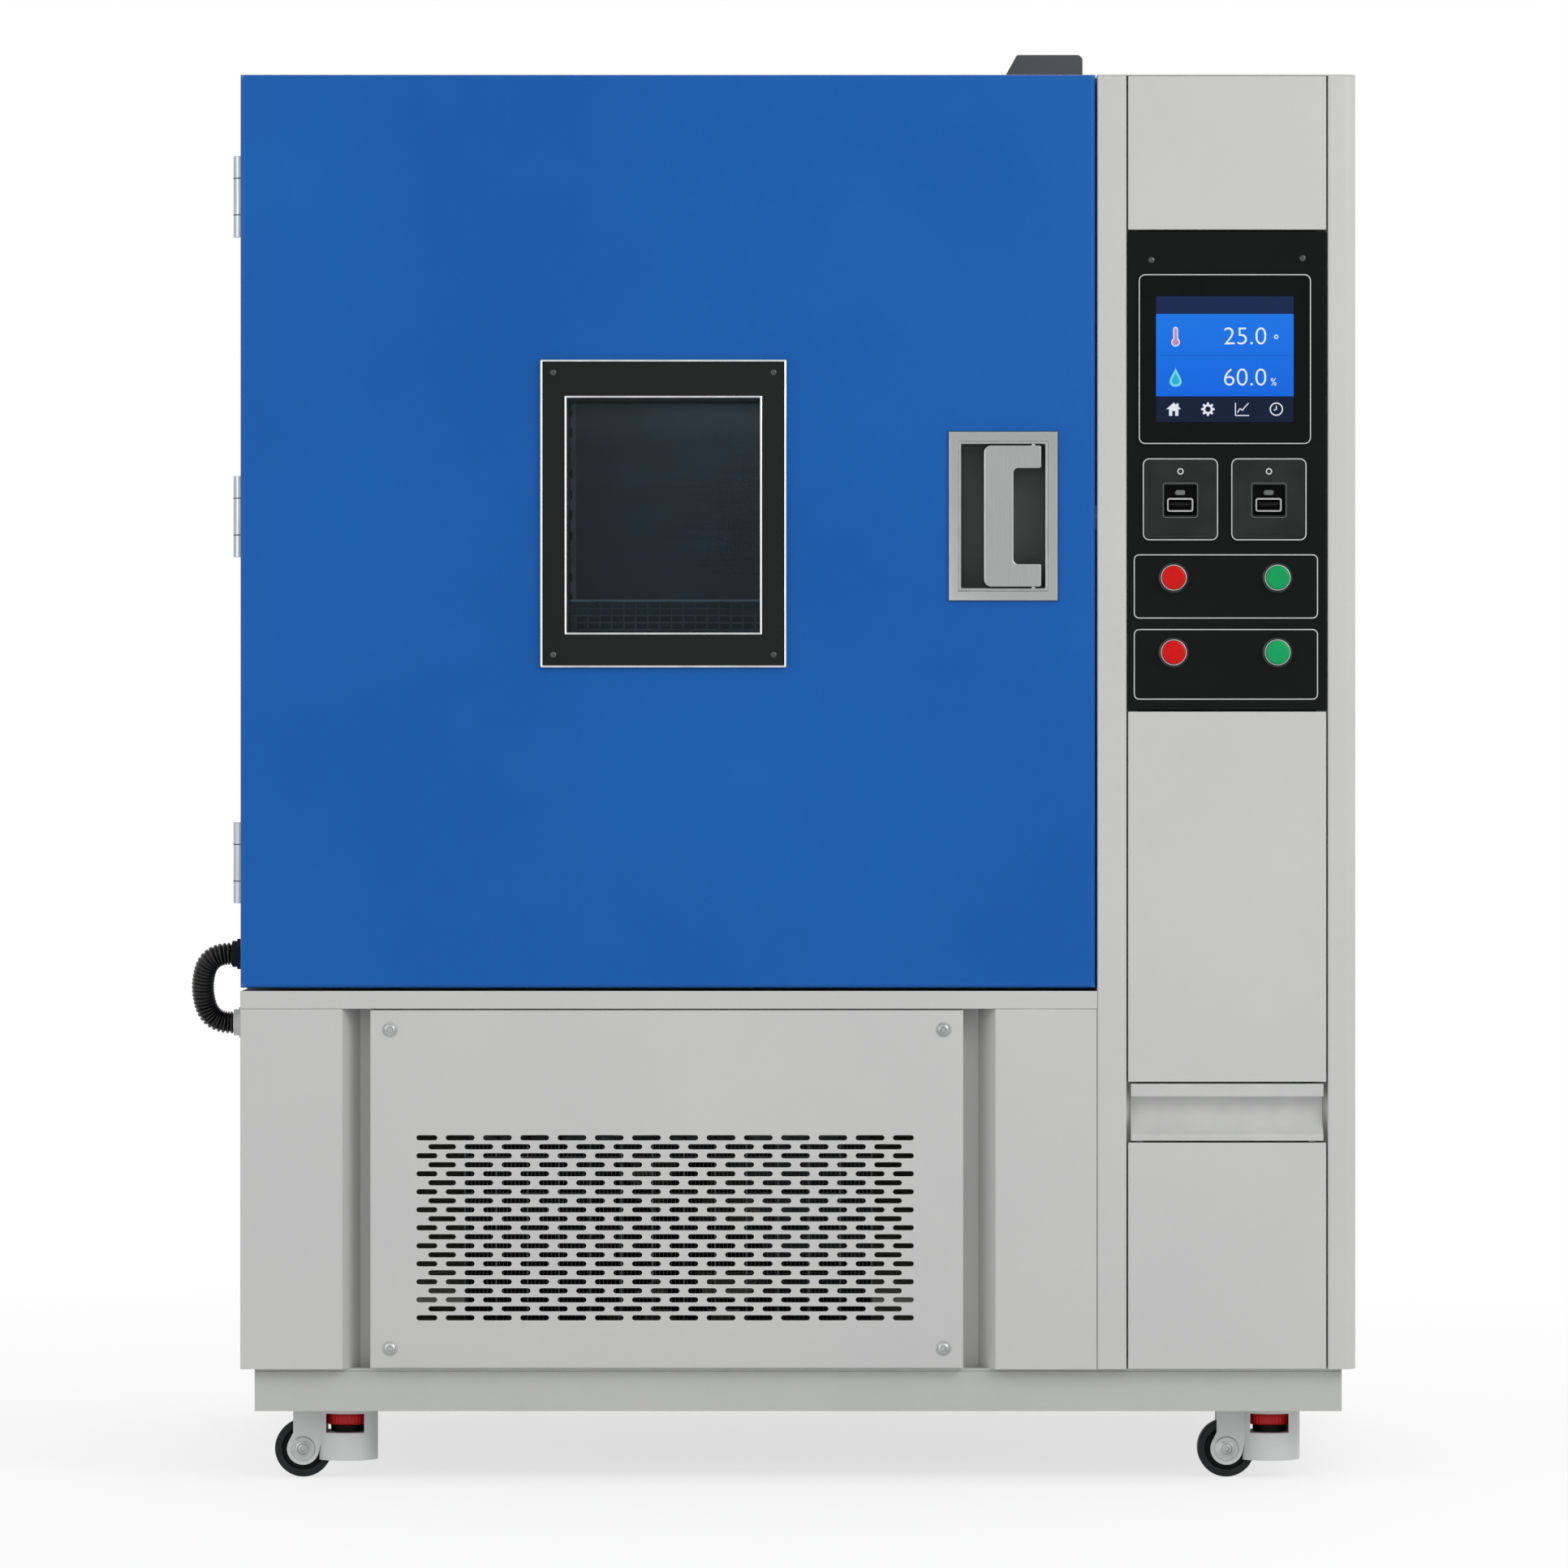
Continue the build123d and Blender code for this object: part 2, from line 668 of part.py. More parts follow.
field_x = (grille_x[0] + SLOT_FIELD_SIDE, grille_x[0] + SLOT_FIELD_SIDE + SLOT_FIELD_W)
field_z = grille_z[0] + SLOT_FIELD_UP
with BuildPart() as grille_panel:
    block(grille_x, (front, grille_back), grille_z)
    block(grown(grille_x, -SHEET), (front + SHEET, grille_back), grown(grille_z, -SHEET),
          Mode.SUBTRACT)
    with BuildSketch(facing(front + SHEET)):
        row_kinds = ((0.0, SLOT_PITCH / 2, (ROWS + 1) // 2), (ROW_SHIFT, 0.0, ROWS // 2))
        for shift, start, rows in row_kinds:
            whole, end_x, end_l = slot_row(SLOT_FIELD_W / 2 - shift, start)
            with Locations((middle(field_x), field_z + SLOT_H / 2 + (ROWS - 1) * ROW_PITCH / 2)):
                with GridLocations(SLOT_PITCH, 2 * ROW_PITCH, whole, rows):
                    Rectangle(SLOT_L, SLOT_H)
                if end_l > SLOT_H:
                    with GridLocations(2 * end_x, 2 * ROW_PITCH, 2, rows):
                        Rectangle(end_l, SLOT_H)
        for x in grown(grille_x, -SCREW_INSET):
            for z in grown(grille_z, -SCREW_INSET):
                with Locations((x, z)):
                    Circle(SCREW_R)
    extrude(amount=SHEET, mode=Mode.SUBTRACT)
grille_panel.part.label = "grille_panel"
export_step(grille_panel.part, "parts/grille_panel.step")

# Insulation boards round the chamber, and the stainless liner inside them
box_x = (left + SHEET + FIT, column_x - FIT)
slab_y = (box_front + LINER, box_back)
cavity_x, cavity_z = grown(chamber_x, LINER), grown(chamber_z, LINER)
blower = (middle(chamber_x), chamber_z[1] - BLOWER_DOWN)
with BuildPart() as insulation:
    block(box_x, slab_y, (door_z[0], cavity_z[0]))
    block(box_x, slab_y, (cavity_z[1], under_top - FIT))
    side_z = grown(cavity_z, -FIT)
    block((box_x[0], cavity_x[0]), slab_y, side_z)
    block((cavity_x[1], box_x[1]), slab_y, side_z)
    block(grown(cavity_x, -FIT), (chamber_back + LINER, box_back), side_z)
    with BuildSketch(facing(box_back)):
        with Locations(blower):
            Circle(BLOWER_SHAFT_R + SHAFT_ROOM)
    extrude(amount=BACK_WALL, mode=Mode.SUBTRACT)
insulation.part.label = "insulation"
export_step(insulation.part, "parts/insulation.step")

with BuildPart() as inner_liner:
    block(box_x, (box_front, box_front + LINER), (door_z[0], under_top - FIT))
    block(cavity_x, (box_front, chamber_back + LINER), cavity_z)
    block(chamber_x, (box_front, chamber_back), chamber_z, Mode.SUBTRACT)
    with BuildSketch(facing(chamber_back + 2 * LINER)):
        with Locations(blower):
            Circle(BLOWER_SHAFT_R + SHAFT_ROOM)
    extrude(amount=3 * LINER, mode=Mode.SUBTRACT)
inner_liner.part.label = "inner_liner"
export_step(inner_liner.part, "parts/inner_liner.step")

# Air baffle, coils and blower in the plenum behind it
with BuildPart() as air_baffle:
    with BuildSketch(facing(baffle_y + LINER)):
        window(chamber_x, chamber_z)
        for z in (chamber_z[0] + BAFFLE_EDGE, chamber_z[1] - BAFFLE_EDGE - BAFFLE_SLOT_H):
            for x in (-1, 0, 1):
                span_w = (chamber_x[1] - chamber_x[0]) / 3
                centre = middle(chamber_x) + x * span_w
                window(grown((centre, centre), (span_w - BAFFLE_RIB) / 2), (z, z + BAFFLE_SLOT_H),
                       mode=Mode.SUBTRACT)
    extrude(amount=LINER)
air_baffle.part.label = "air_baffle"
export_step(air_baffle.part, "parts/air_baffle.step")

coil_x = grown(chamber_x, -COIL_SIDE_GAP)
coil_y = (baffle_y + LINER + COIL_SETBACK, baffle_y + LINER + COIL_SETBACK + COIL_T)
coil_z = (chamber_z[0] + COIL_UP, blower[1] - BLOWER_R - BLOWER_ROOM - HEATER_UP)
with BuildPart() as plenum_coils:
    for i in range(COIL_FINS):
        x = coil_x[0] + i * (coil_x[1] - coil_x[0] - FIN_T) / (COIL_FINS - 1)
        foot = chamber_z[0] if i in (0, COIL_FINS - 1) else coil_z[0]
        block((x, x + FIN_T), coil_y, (foot, coil_z[1]))
    with BuildSketch(Plane.YZ.offset(coil_x[0])):
        with Locations((middle(coil_y), middle(coil_z))):
            with GridLocations(COIL_T / 2, (coil_z[1] - coil_z[0]) / 4, 2, 4):
                Circle(TUBE_R)
    extrude(amount=coil_x[1] - coil_x[0])
    heater_z = coil_z[1] + HEATER_UP
    with BuildSketch(Plane.YZ.offset(coil_x[0])):
        with Locations((middle(coil_y), heater_z)):
            Circle(TUBE_R)
    extrude(amount=coil_x[1] - coil_x[0])
    for x in (coil_x[0], coil_x[1] - FIN_T):
        block((x, x + FIN_T), grown((middle(coil_y), middle(coil_y)), HEATER_STRAP_W / 2),
              (coil_z[1], heater_z + HEATER_STRAP_W / 2))
plenum_coils.part.label = "plenum_coils"
export_step(plenum_coils.part, "parts/plenum_coils.step")

blower_y = (chamber_back - BLOWER_SETBACK, chamber_back - BLOWER_SETBACK - BLOWER_W)
with BuildPart() as circulation_fan:
    with BuildSketch(facing(blower_y[0])):
        with Locations(blower):
            Circle(BLOWER_R)
    extrude(amount=BLOWER_DISC_T)
    with BuildSketch(facing(blower_y[1] + BLOWER_DISC_T)):
        with Locations(blower):
            Circle(BLOWER_R)
            Circle(BLOWER_R - BLOWER_RING_W, mode=Mode.SUBTRACT)
    extrude(amount=BLOWER_DISC_T)
    with BuildSketch(facing(blower_y[0])):
        with Locations(blower):
            with PolarLocations(BLOWER_R - BLOWER_RING_W / 2, BLOWER_BLADES):
                Rectangle(BLOWER_BLADE_L, BLOWER_BLADE_T, rotation=BLOWER_BLADE_TILT)
    extrude(amount=BLOWER_W)
    with BuildSketch(facing(blower_y[0])):
        with Locations(blower):
            Circle(BLOWER_HUB_R)
    extrude(amount=BLOWER_HUB_L)
    shaft_end = box_back + FIT + SHAFT_SEAT
    with BuildSketch(facing(shaft_end)):
        with Locations(blower):
            Circle(BLOWER_SHAFT_R)
    extrude(amount=shaft_end - blower_y[0])
circulation_fan.part.label = "circulation_fan"
export_step(circulation_fan.part, "parts/circulation_fan.step")

# Condenser behind the grille, with its shroud, fan and the two fan motors
condenser_x = grown((middle(grille_x), middle(grille_x)), CONDENSER_W / 2)
condenser_z = (body_z, body_z + CONDENSER_H)
condenser_y = (grille_back + CONDENSER_SETBACK, grille_back + CONDENSER_SETBACK + CONDENSER_T)
fan_centre = (middle(condenser_x), middle(condenser_z))
shroud_back = condenser_y[1] + SHROUD_T
with BuildPart() as condenser:
    for i in range(FIN_COUNT):
        x = condenser_x[0] + i * (CONDENSER_W - SHROUD_SHEET) / (FIN_COUNT - 1)
        block((x, x + SHROUD_SHEET), condenser_y, condenser_z)
    with BuildSketch(Plane.YZ.offset(condenser_x[0])):
        with Locations((middle(condenser_y), middle(condenser_z))):
            with GridLocations(CONDENSER_T / 2, CONDENSER_H / TUBE_ROWS, 2, TUBE_ROWS):
                Circle(TUBE_R)
    extrude(amount=CONDENSER_W)
    ring_inner = FAN_R + FAN_TIP_GAP
    ring_outer = ring_inner + SHROUD_SHEET
    with BuildSketch(facing(condenser_y[1] + SHROUD_SHEET)):
        window(condenser_x, condenser_z)
        with Locations(fan_centre):
            Circle(ring_inner, mode=Mode.SUBTRACT)
    extrude(amount=SHROUD_SHEET)
    with BuildSketch(facing(shroud_back)):
        with Locations(fan_centre):
            Circle(ring_outer)
            Circle(ring_inner, mode=Mode.SUBTRACT)
            Rectangle(2 * ring_outer - SHROUD_SHEET, MOTOR_STRAP_W)
            Circle(FAN_MOTOR_R - MOTOR_SEAT, mode=Mode.SUBTRACT)
    extrude(amount=SHROUD_SHEET)
    with BuildSketch(facing(shroud_back)):
        with Locations(fan_centre):
            Circle(ring_outer)
            Circle(ring_inner, mode=Mode.SUBTRACT)
    extrude(amount=SHROUD_T)
condenser.part.label = "condenser"
export_step(condenser.part, "parts/condenser.step")

fan_mid_y = condenser_y[1] + SHROUD_T / 2
with BuildPart() as condenser_fan:
    with BuildSketch(facing(fan_mid_y + FAN_HUB_L / 2)):
        with Locations(fan_centre):
            Circle(FAN_HUB_R)
    extrude(amount=FAN_HUB_L)
    blade_l = FAN_R - FAN_HUB_R + FAN_BLADE_T
    reach = FAN_R - blade_l / 2
    for i in range(FAN_BLADES):
        angle = i * 360 / FAN_BLADES
        centre = (fan_centre[0] + reach * cos(radians(angle)), fan_mid_y,
                  fan_centre[1] + reach * sin(radians(angle)))
        with Locations(Location(centre, (0, -angle, 0)) * Location((0, 0, 0), (FAN_BLADE_TILT, 0, 0))):
            Box(blade_l, FAN_BLADE_T, FAN_BLADE_W)
    fan_shaft_end = shroud_back + FAN_SHAFT_SEAT
    with BuildSketch(facing(fan_shaft_end)):
        with Locations(fan_centre):
            Circle(FAN_SHAFT_R)
    extrude(amount=fan_shaft_end - fan_mid_y)
condenser_fan.part.label = "condenser_fan"
export_step(condenser_fan.part, "parts/condenser_fan.step")

with BuildPart() as fan_motors:
    with BuildSketch(facing(box_back + FIT + MOTOR_L)):
        with Locations(blower):
            Circle(MOTOR_R)
    extrude(amount=MOTOR_L)
    with BuildSketch(facing(shaft_end + FIT)):
        with Locations(blower):
            Circle(BLOWER_SHAFT_R + RUNNING)
    extrude(amount=SHAFT_SEAT + FIT, mode=Mode.SUBTRACT)
    with BuildSketch(facing(shroud_back + FAN_MOTOR_L)):
        with Locations(fan_centre):
            Circle(FAN_MOTOR_R)
    extrude(amount=FAN_MOTOR_L)
    with BuildSketch(facing(fan_shaft_end + FIT)):
        with Locations(fan_centre):
            Circle(FAN_SHAFT_R + RUNNING)
    extrude(amount=FAN_SHAFT_SEAT + FIT, mode=Mode.SUBTRACT)
fan_motors.part.label = "fan_motors"
export_step(fan_motors.part, "parts/fan_motors.step")

compressor_at = (middle(grille_x) - COMPRESSOR_LEFT, COMPRESSOR_Y)
plate_z = body_z + COMPRESSOR_PAD_H
with BuildPart() as compressor:
    with BuildSketch(Plane.XY.offset(plate_z + COMPRESSOR_PLATE_T)):
        with Locations(compressor_at):
            Circle(COMPRESSOR_R)
    extrude(amount=COMPRESSOR_H)
    fillet(compressor.faces().sort_by(Axis.Z)[-1].edges(), COMPRESSOR_R * 0.55)
    with BuildSketch(Plane.XY.offset(plate_z)):
        with Locations(compressor_at):
            RectangleRounded(2.5 * COMPRESSOR_R, 2.2 * COMPRESSOR_R, COMPRESSOR_PAD_R)
    extrude(amount=COMPRESSOR_PLATE_T)
    with BuildSketch(Plane.XY.offset(body_z)):
        with Locations(compressor_at):
            with GridLocations(2.1 * COMPRESSOR_R, 1.8 * COMPRESSOR_R, 2, 2):
                Circle(COMPRESSOR_PAD_R)
    extrude(amount=COMPRESSOR_PAD_H)
compressor.part.label = "compressor"
export_step(compressor.part, "parts/compressor.step")

# Shelf rails on the baffle with cantilever arms, and the wire shelves on the arms
shelf_x = grown(chamber_x, -SHELF_SIDE_GAP)
shelf_y = (door_back + PLUG_D + SHELF_FRONT_GAP, baffle_y - SHELF_BACK_GAP)
shelf_d = shelf_y[1] - shelf_y[0]
rail_front = baffle_y - SHELF_RAIL_D
arm_front = shelf_y[0] + ARM_SETBACK
with BuildPart() as shelf_rails:
    for side in (-1, 1):
        x = middle(chamber_x) + side * RAIL_SPREAD / 2
        block(grown((x, x), SHELF_RAIL_W / 2), (rail_front, baffle_y),
              grown(chamber_z, -SHELF_RAIL_INSET))
        for height in SHELF_HEIGHTS:
            z = chamber_z[0] + height
            with BuildSketch(Plane.YZ.offset(x - ARM_T / 2)):
                with BuildLine():
                    Polyline(
                        (rail_front, z), (arm_front, z), (arm_front, z - ARM_NOSE),
                        (rail_front, z - ARM_H), (rail_front, z),
                    )
                make_face()
            extrude(amount=ARM_T)
shelf_rails.part.label = "shelf_rails"
export_step(shelf_rails.part, "parts/shelf_rails.step")

with BuildPart() as wire_shelves:
    for height in SHELF_HEIGHTS:
        z = chamber_z[0] + height + FIT
        with BuildSketch(Plane.XY.offset(z)):
            window(shelf_x, shelf_y)
            window(grown(shelf_x, -WIRE), grown(shelf_y, -WIRE), mode=Mode.SUBTRACT)
            with Locations((middle(shelf_x), middle(shelf_y))):
                with GridLocations((shelf_x[1] - shelf_x[0]) / (WIRE_COUNT + 1), 1, WIRE_COUNT, 1):
                    Rectangle(WIRE * 0.6, shelf_d - WIRE)
                with GridLocations(1, shelf_d / 4, 1, 3):
                    Rectangle(shelf_x[1] - shelf_x[0] - WIRE, WIRE * 0.8)
        extrude(amount=WIRE)
wire_shelves.part.label = "wire_shelves"
export_step(wire_shelves.part, "parts/wire_shelves.step")

# Door: outer skin with window and handle openings, and the foam core behind it
glazing_x = (left + WINDOW_LEFT, left + WINDOW_LEFT + WINDOW_W)
glazing_z = (door_z[0] + WINDOW_UP, door_z[0] + WINDOW_UP + WINDOW_H)
sleeve_x, sleeve_z = grown(glazing_x, SLEEVE + FIT), grown(glazing_z, SLEEVE + FIT)
plug_x, plug_z = grown(chamber_x, -PLUG_CLEAR), grown(chamber_z, -PLUG_CLEAR)
plug_y = (door_back - DOOR_SKIN, door_back + PLUG_D)
pan_x = (door_x[1] - PAN_SIDE - PAN_W, door_x[1] - PAN_SIDE)
pan_z = (door_z[0] + PAN_UP, door_z[0] + PAN_UP + PAN_H)
well_x, well_z = grown(pan_x, -RIM_W), grown(pan_z, -RIM_W)
tub_x, tub_z = grown(well_x, PAN_WALL), grown(well_z, PAN_WALL)
with BuildPart() as door_panel:
    block(door_x, (front, door_back - DOOR_SKIN), door_z)
    fillet(door_panel.faces().sort_by(Axis.Y)[0].edges(), DOOR_EDGE_R)
    offset(amount=-DOOR_SKIN, openings=door_panel.faces().sort_by(Axis.Y)[-1])
    block(sleeve_x, (front - 1, front + 2 * DOOR_SKIN), sleeve_z, Mode.SUBTRACT)
    block(tub_x, (front - 1, front + 2 * DOOR_SKIN), tub_z, Mode.SUBTRACT)
    block((door_x[1] - 2 * DOOR_SKIN, door_x[1] + 1), grown(bolt_y, FIT), grown(bolt_z, FIT),
          Mode.SUBTRACT)
door_panel.part.label = "door_panel"
export_step(door_panel.part, "parts/door_panel.step")

core_x, core_z = grown(door_x, -DOOR_SKIN - FIT), grown(door_z, -DOOR_SKIN - FIT)
with BuildPart() as door_core:
    block(core_x, (front + DOOR_SKIN + FIT, door_back - DOOR_SKIN - FIT), core_z)
    fillet(door_core.faces().sort_by(Axis.Y)[0].edges(), DOOR_EDGE_R - DOOR_SKIN)
    block(grown(plug_x, -DOOR_SKIN - FIT), (door_back - 2 * DOOR_SKIN, plug_y[1] - DOOR_SKIN - FIT),
          grown(plug_z, -DOOR_SKIN - FIT))
    block(sleeve_x, (front, plug_y[1]), sleeve_z, Mode.SUBTRACT)
    block(grown(tub_x, FIT), (front, front + PAN_D + PAN_WALL), grown(tub_z, FIT), Mode.SUBTRACT)
    block((tub_x[1], door_x[1]), grown(bolt_y, FIT), grown(bolt_z, FIT), Mode.SUBTRACT)
door_core.part.label = "door_core"
export_step(door_core.part, "parts/door_core.step")

with BuildPart() as door_liner:
    block(grown(door_x, -DOOR_EDGE_R), (door_back - DOOR_SKIN, door_back),
          grown(door_z, -DOOR_EDGE_R))
    block(plug_x, plug_y, plug_z)
    block(grown(plug_x, -DOOR_SKIN), (plug_y[0], plug_y[1] - DOOR_SKIN),
          grown(plug_z, -DOOR_SKIN), Mode.SUBTRACT)
    block(grown(glazing_x, SLEEVE), (front, plug_y[1]), grown(glazing_z, SLEEVE))
    block(glazing_x, (front, plug_y[1]), glazing_z, Mode.SUBTRACT)
door_liner.part.label = "door_liner"
export_step(door_liner.part, "parts/door_liner.step")

gasket_x, gasket_z = grown(chamber_x, GASKET_INSET), grown(chamber_z, GASKET_INSET)
with BuildPart() as door_gasket:
    with BuildSketch(facing(box_front - FIT)):
        window(gasket_x, gasket_z)
        window(grown(gasket_x, -GASKET_W), grown(gasket_z, -GASKET_W), mode=Mode.SUBTRACT)
    extrude(amount=GASKET_T - FIT)
door_gasket.part.label = "door_gasket"
export_step(door_gasket.part, "parts/door_gasket.step")

rim_x = grown(glazing_x, WINDOW_BORDER_X)
rim_z = (glazing_z[0] - WINDOW_BORDER_FOOT, glazing_z[1] + WINDOW_BORDER_TOP)
with BuildPart() as window_frame:
    with BuildSketch(facing(front)):
        window(rim_x, rim_z)
        window(glazing_x, glazing_z, mode=Mode.SUBTRACT)
    extrude(amount=FRAME_PROUD)
    for outer_x, outer_z, width in (
        (rim_x, rim_z, TRIM_W),
        (grown(glazing_x, TRIM_W), grown(glazing_z, TRIM_W), TRIM_W),
    ):
        with BuildSketch(facing(front - FRAME_PROUD)):
            window(outer_x, outer_z)
            window(grown(outer_x, -width), grown(outer_z, -width), mode=Mode.SUBTRACT)
        extrude(amount=TRIM_PROUD)
window_frame.part.label = "window_frame"
export_step(window_frame.part, "parts/window_frame.step")

pane_x, pane_z = grown(glazing_x, -FIT), grown(glazing_z, -FIT)
with BuildPart() as window_glass:
    for y in (front + 2, middle((front, plug_y[1])) - GLASS_T / 2, plug_y[1] - GLASS_T - 2):
        block(pane_x, (y, y + GLASS_T), pane_z)
window_glass.part.label = "window_glass"
export_step(window_glass.part, "parts/window_glass.step")

# Handle: recessed pan with a mitred rim, C-shaped grip on two studs, and latch bolt
grip_z = grown(well_z, -GRIP_EDGE_GAP)
grip_x = (well_x[1] - GRIP_SIDE_GAP - GRIP_W, well_x[1] - GRIP_SIDE_GAP)
grip_front = front - RIM_PROUD
pivot = (grip_x[1] - BOSS_R, grip_front + BOSS_R)
with BuildPart() as handle_pan:
    with BuildSketch(facing(front)):
        window(pan_x, pan_z)
        window(well_x, well_z, mode=Mode.SUBTRACT)
    extrude(amount=RIM_PROUD)
    rim_edges = handle_pan.faces().sort_by(Axis.Y)[0].outer_wire().edges()
    chamfer(rim_edges, RIM_PROUD - 1, RIM_W * 0.35)
    block(grown(tub_x, -FIT), (front, front + PAN_D + PAN_WALL - FIT), grown(tub_z, -FIT))
    block(well_x, (front - RIM_PROUD, front + PAN_D), well_z, Mode.SUBTRACT)
    for stud_z in ((well_z[0], well_z[0] + STUD_L), (well_z[1] - STUD_L, well_z[1])):
        with Locations((pivot[0], pivot[1], middle(stud_z))):
            Cylinder(PIVOT_R, STUD_L)
handle_pan.part.label = "handle_pan"
export_step(handle_pan.part, "parts/handle_pan.step")

with BuildPart() as handle_grip:
    with BuildSketch(facing(grip_front + GRIP_T)):
        window((grip_x[0], pivot[0]), grip_z)
        window((grip_x[0] + GRIP_BAR_W, pivot[0]), grown(grip_z, -GRIP_ARM_H), mode=Mode.SUBTRACT)
    extrude(amount=GRIP_T)
    bar_corners = handle_grip.edges().filter_by(Axis.Y).group_by(Axis.X)[0]
    fillet(bar_corners, BAR_CORNER_R)
    for arm_z in ((grip_z[0], grip_z[0] + GRIP_ARM_H), (grip_z[1] - GRIP_ARM_H, grip_z[1])):
        with Locations((pivot[0], pivot[1], middle(arm_z))):
            Cylinder(BOSS_R, GRIP_ARM_H)
            Cylinder(PIVOT_R + RUNNING, GRIP_ARM_H, mode=Mode.SUBTRACT)
handle_grip.part.label = "handle_grip"
export_step(handle_grip.part, "parts/handle_grip.step")

bolt_x = (tub_x[1] + BOLT_THROW + 2 * FIT, door_x[1] + BOLT_REACH)
with BuildPart() as latch_bolt:
    block(bolt_x, bolt_y, bolt_z)
    nose = latch_bolt.edges().filter_by(Axis.Z).group_by(Axis.X)[-1].sort_by(Axis.Y)[-1]
    chamfer(nose, BOLT_T * 0.6)
latch_bolt.part.label = "latch_bolt"
export_step(latch_bolt.part, "parts/latch_bolt.step")

# Hinges: cabinet leaves with the outer knuckles and pin, door leaves with the middle one
hinge_zs = [door_z[0] + height for height in HINGE_HEIGHTS]
leaf_start = KNUCKLE_R + 0.6
outer_h = (HINGE_H - KNUCKLE_MID) / 2 - FIT
with BuildPart() as hinge_cabinet_leaves:
    for z in hinge_zs:
        block((left - LEAF_T, left), (hinge_y + leaf_start, hinge_y + leaf_start + LEAF_W),
              (z - HINGE_H / 2, z + HINGE_H / 2))
        for side in (-1, 1):
            knuckle_z = z + side * (KNUCKLE_MID / 2 + FIT + outer_h / 2)
            with Locations((hinge_x, hinge_y, knuckle_z)):
                Cylinder(KNUCKLE_R, outer_h)
            block((left - LEAF_T, left), (hinge_y, hinge_y + leaf_start + 1),
                  (knuckle_z - outer_h / 2, knuckle_z + outer_h / 2))
        with Locations((hinge_x, hinge_y, z)):
            Cylinder(PIN_R, HINGE_H - 2)
hinge_cabinet_leaves.part.label = "hinge_cabinet_leaves"
export_step(hinge_cabinet_leaves.part, "parts/hinge_cabinet_leaves.step")

with BuildPart() as hinge_door_leaves:
    for z in hinge_zs:
        block((left - LEAF_T, left), (hinge_y - leaf_start - LEAF_W, hinge_y - leaf_start),
              (z - HINGE_H / 2, z + HINGE_H / 2))
        block((left - LEAF_T, left), (hinge_y - leaf_start - 1, hinge_y),
              (z - KNUCKLE_MID / 2, z + KNUCKLE_MID / 2))
        with Locations((hinge_x, hinge_y, z)):
            Cylinder(KNUCKLE_R, KNUCKLE_MID)
            Cylinder(PIN_R + RUNNING, KNUCKLE_MID, mode=Mode.SUBTRACT)
hinge_door_leaves.part.label = "hinge_door_leaves"
export_step(hinge_door_leaves.part, "parts/hinge_door_leaves.step")

# Vent cap on the top panel: one sloped end, folded rim
cap_x = (left + HOOD_LEFT, left + HOOD_LEFT + HOOD_W)
cap_y = (box_front + HOOD_SETBACK, box_front + HOOD_SETBACK + HOOD_D)
with BuildPart() as vent_cap:
    with BuildSketch(facing(cap_y[1])):
        with BuildLine():
            Polyline(
                (cap_x[0], HEIGHT), (cap_x[0] + HOOD_SLOPE, HEIGHT + HOOD_H),
                (cap_x[1] - HOOD_FOLD, HEIGHT + HOOD_H), (cap_x[1], HEIGHT + HOOD_H - HOOD_FOLD),
                (cap_x[1], HEIGHT), close=True,
            )
        make_face()
    extrude(amount=HOOD_D)
vent_cap.part.label = "vent_cap"
export_step(vent_cap.part, "parts/vent_cap.step")

# Corrugated hose between its two glands
runs = [Vector(*b) - Vector(*a) for a, b in zip(route, route[1:])]
radii = []
for first, second in zip(runs, runs[1:]):
    shorter = min(first.length, second.length)
    turn = first.get_angle(second)
    radii.append(0.45 * shorter / tan(radians(turn / 2)))
print("hose radii", [round(r, 1) for r in radii])
with BuildPart() as hose:
    with BuildLine() as hose_path:
        FilletPolyline(*route, radius=radii)
    with BuildSketch(Plane(origin=hose_path.line @ 0, z_dir=hose_path.line % 0)):
        Circle(HOSE_D / 2)
    sweep(path=hose_path.line)
hose_length = hose_path.wires()[0].length
print("hose length", round(hose_length, 1))
print("volume ratio", round(hose.part.volume / (hose_length * pi * HOSE_D**2 / 4), 4))
hose.part.label = "hose"
export_step(hose.part, "parts/hose.step")

with BuildPart() as door_gland:
    add_gland(*route[0][1:])
door_gland.part.label = "door_gland"
export_step(door_gland.part, "parts/door_gland.step")

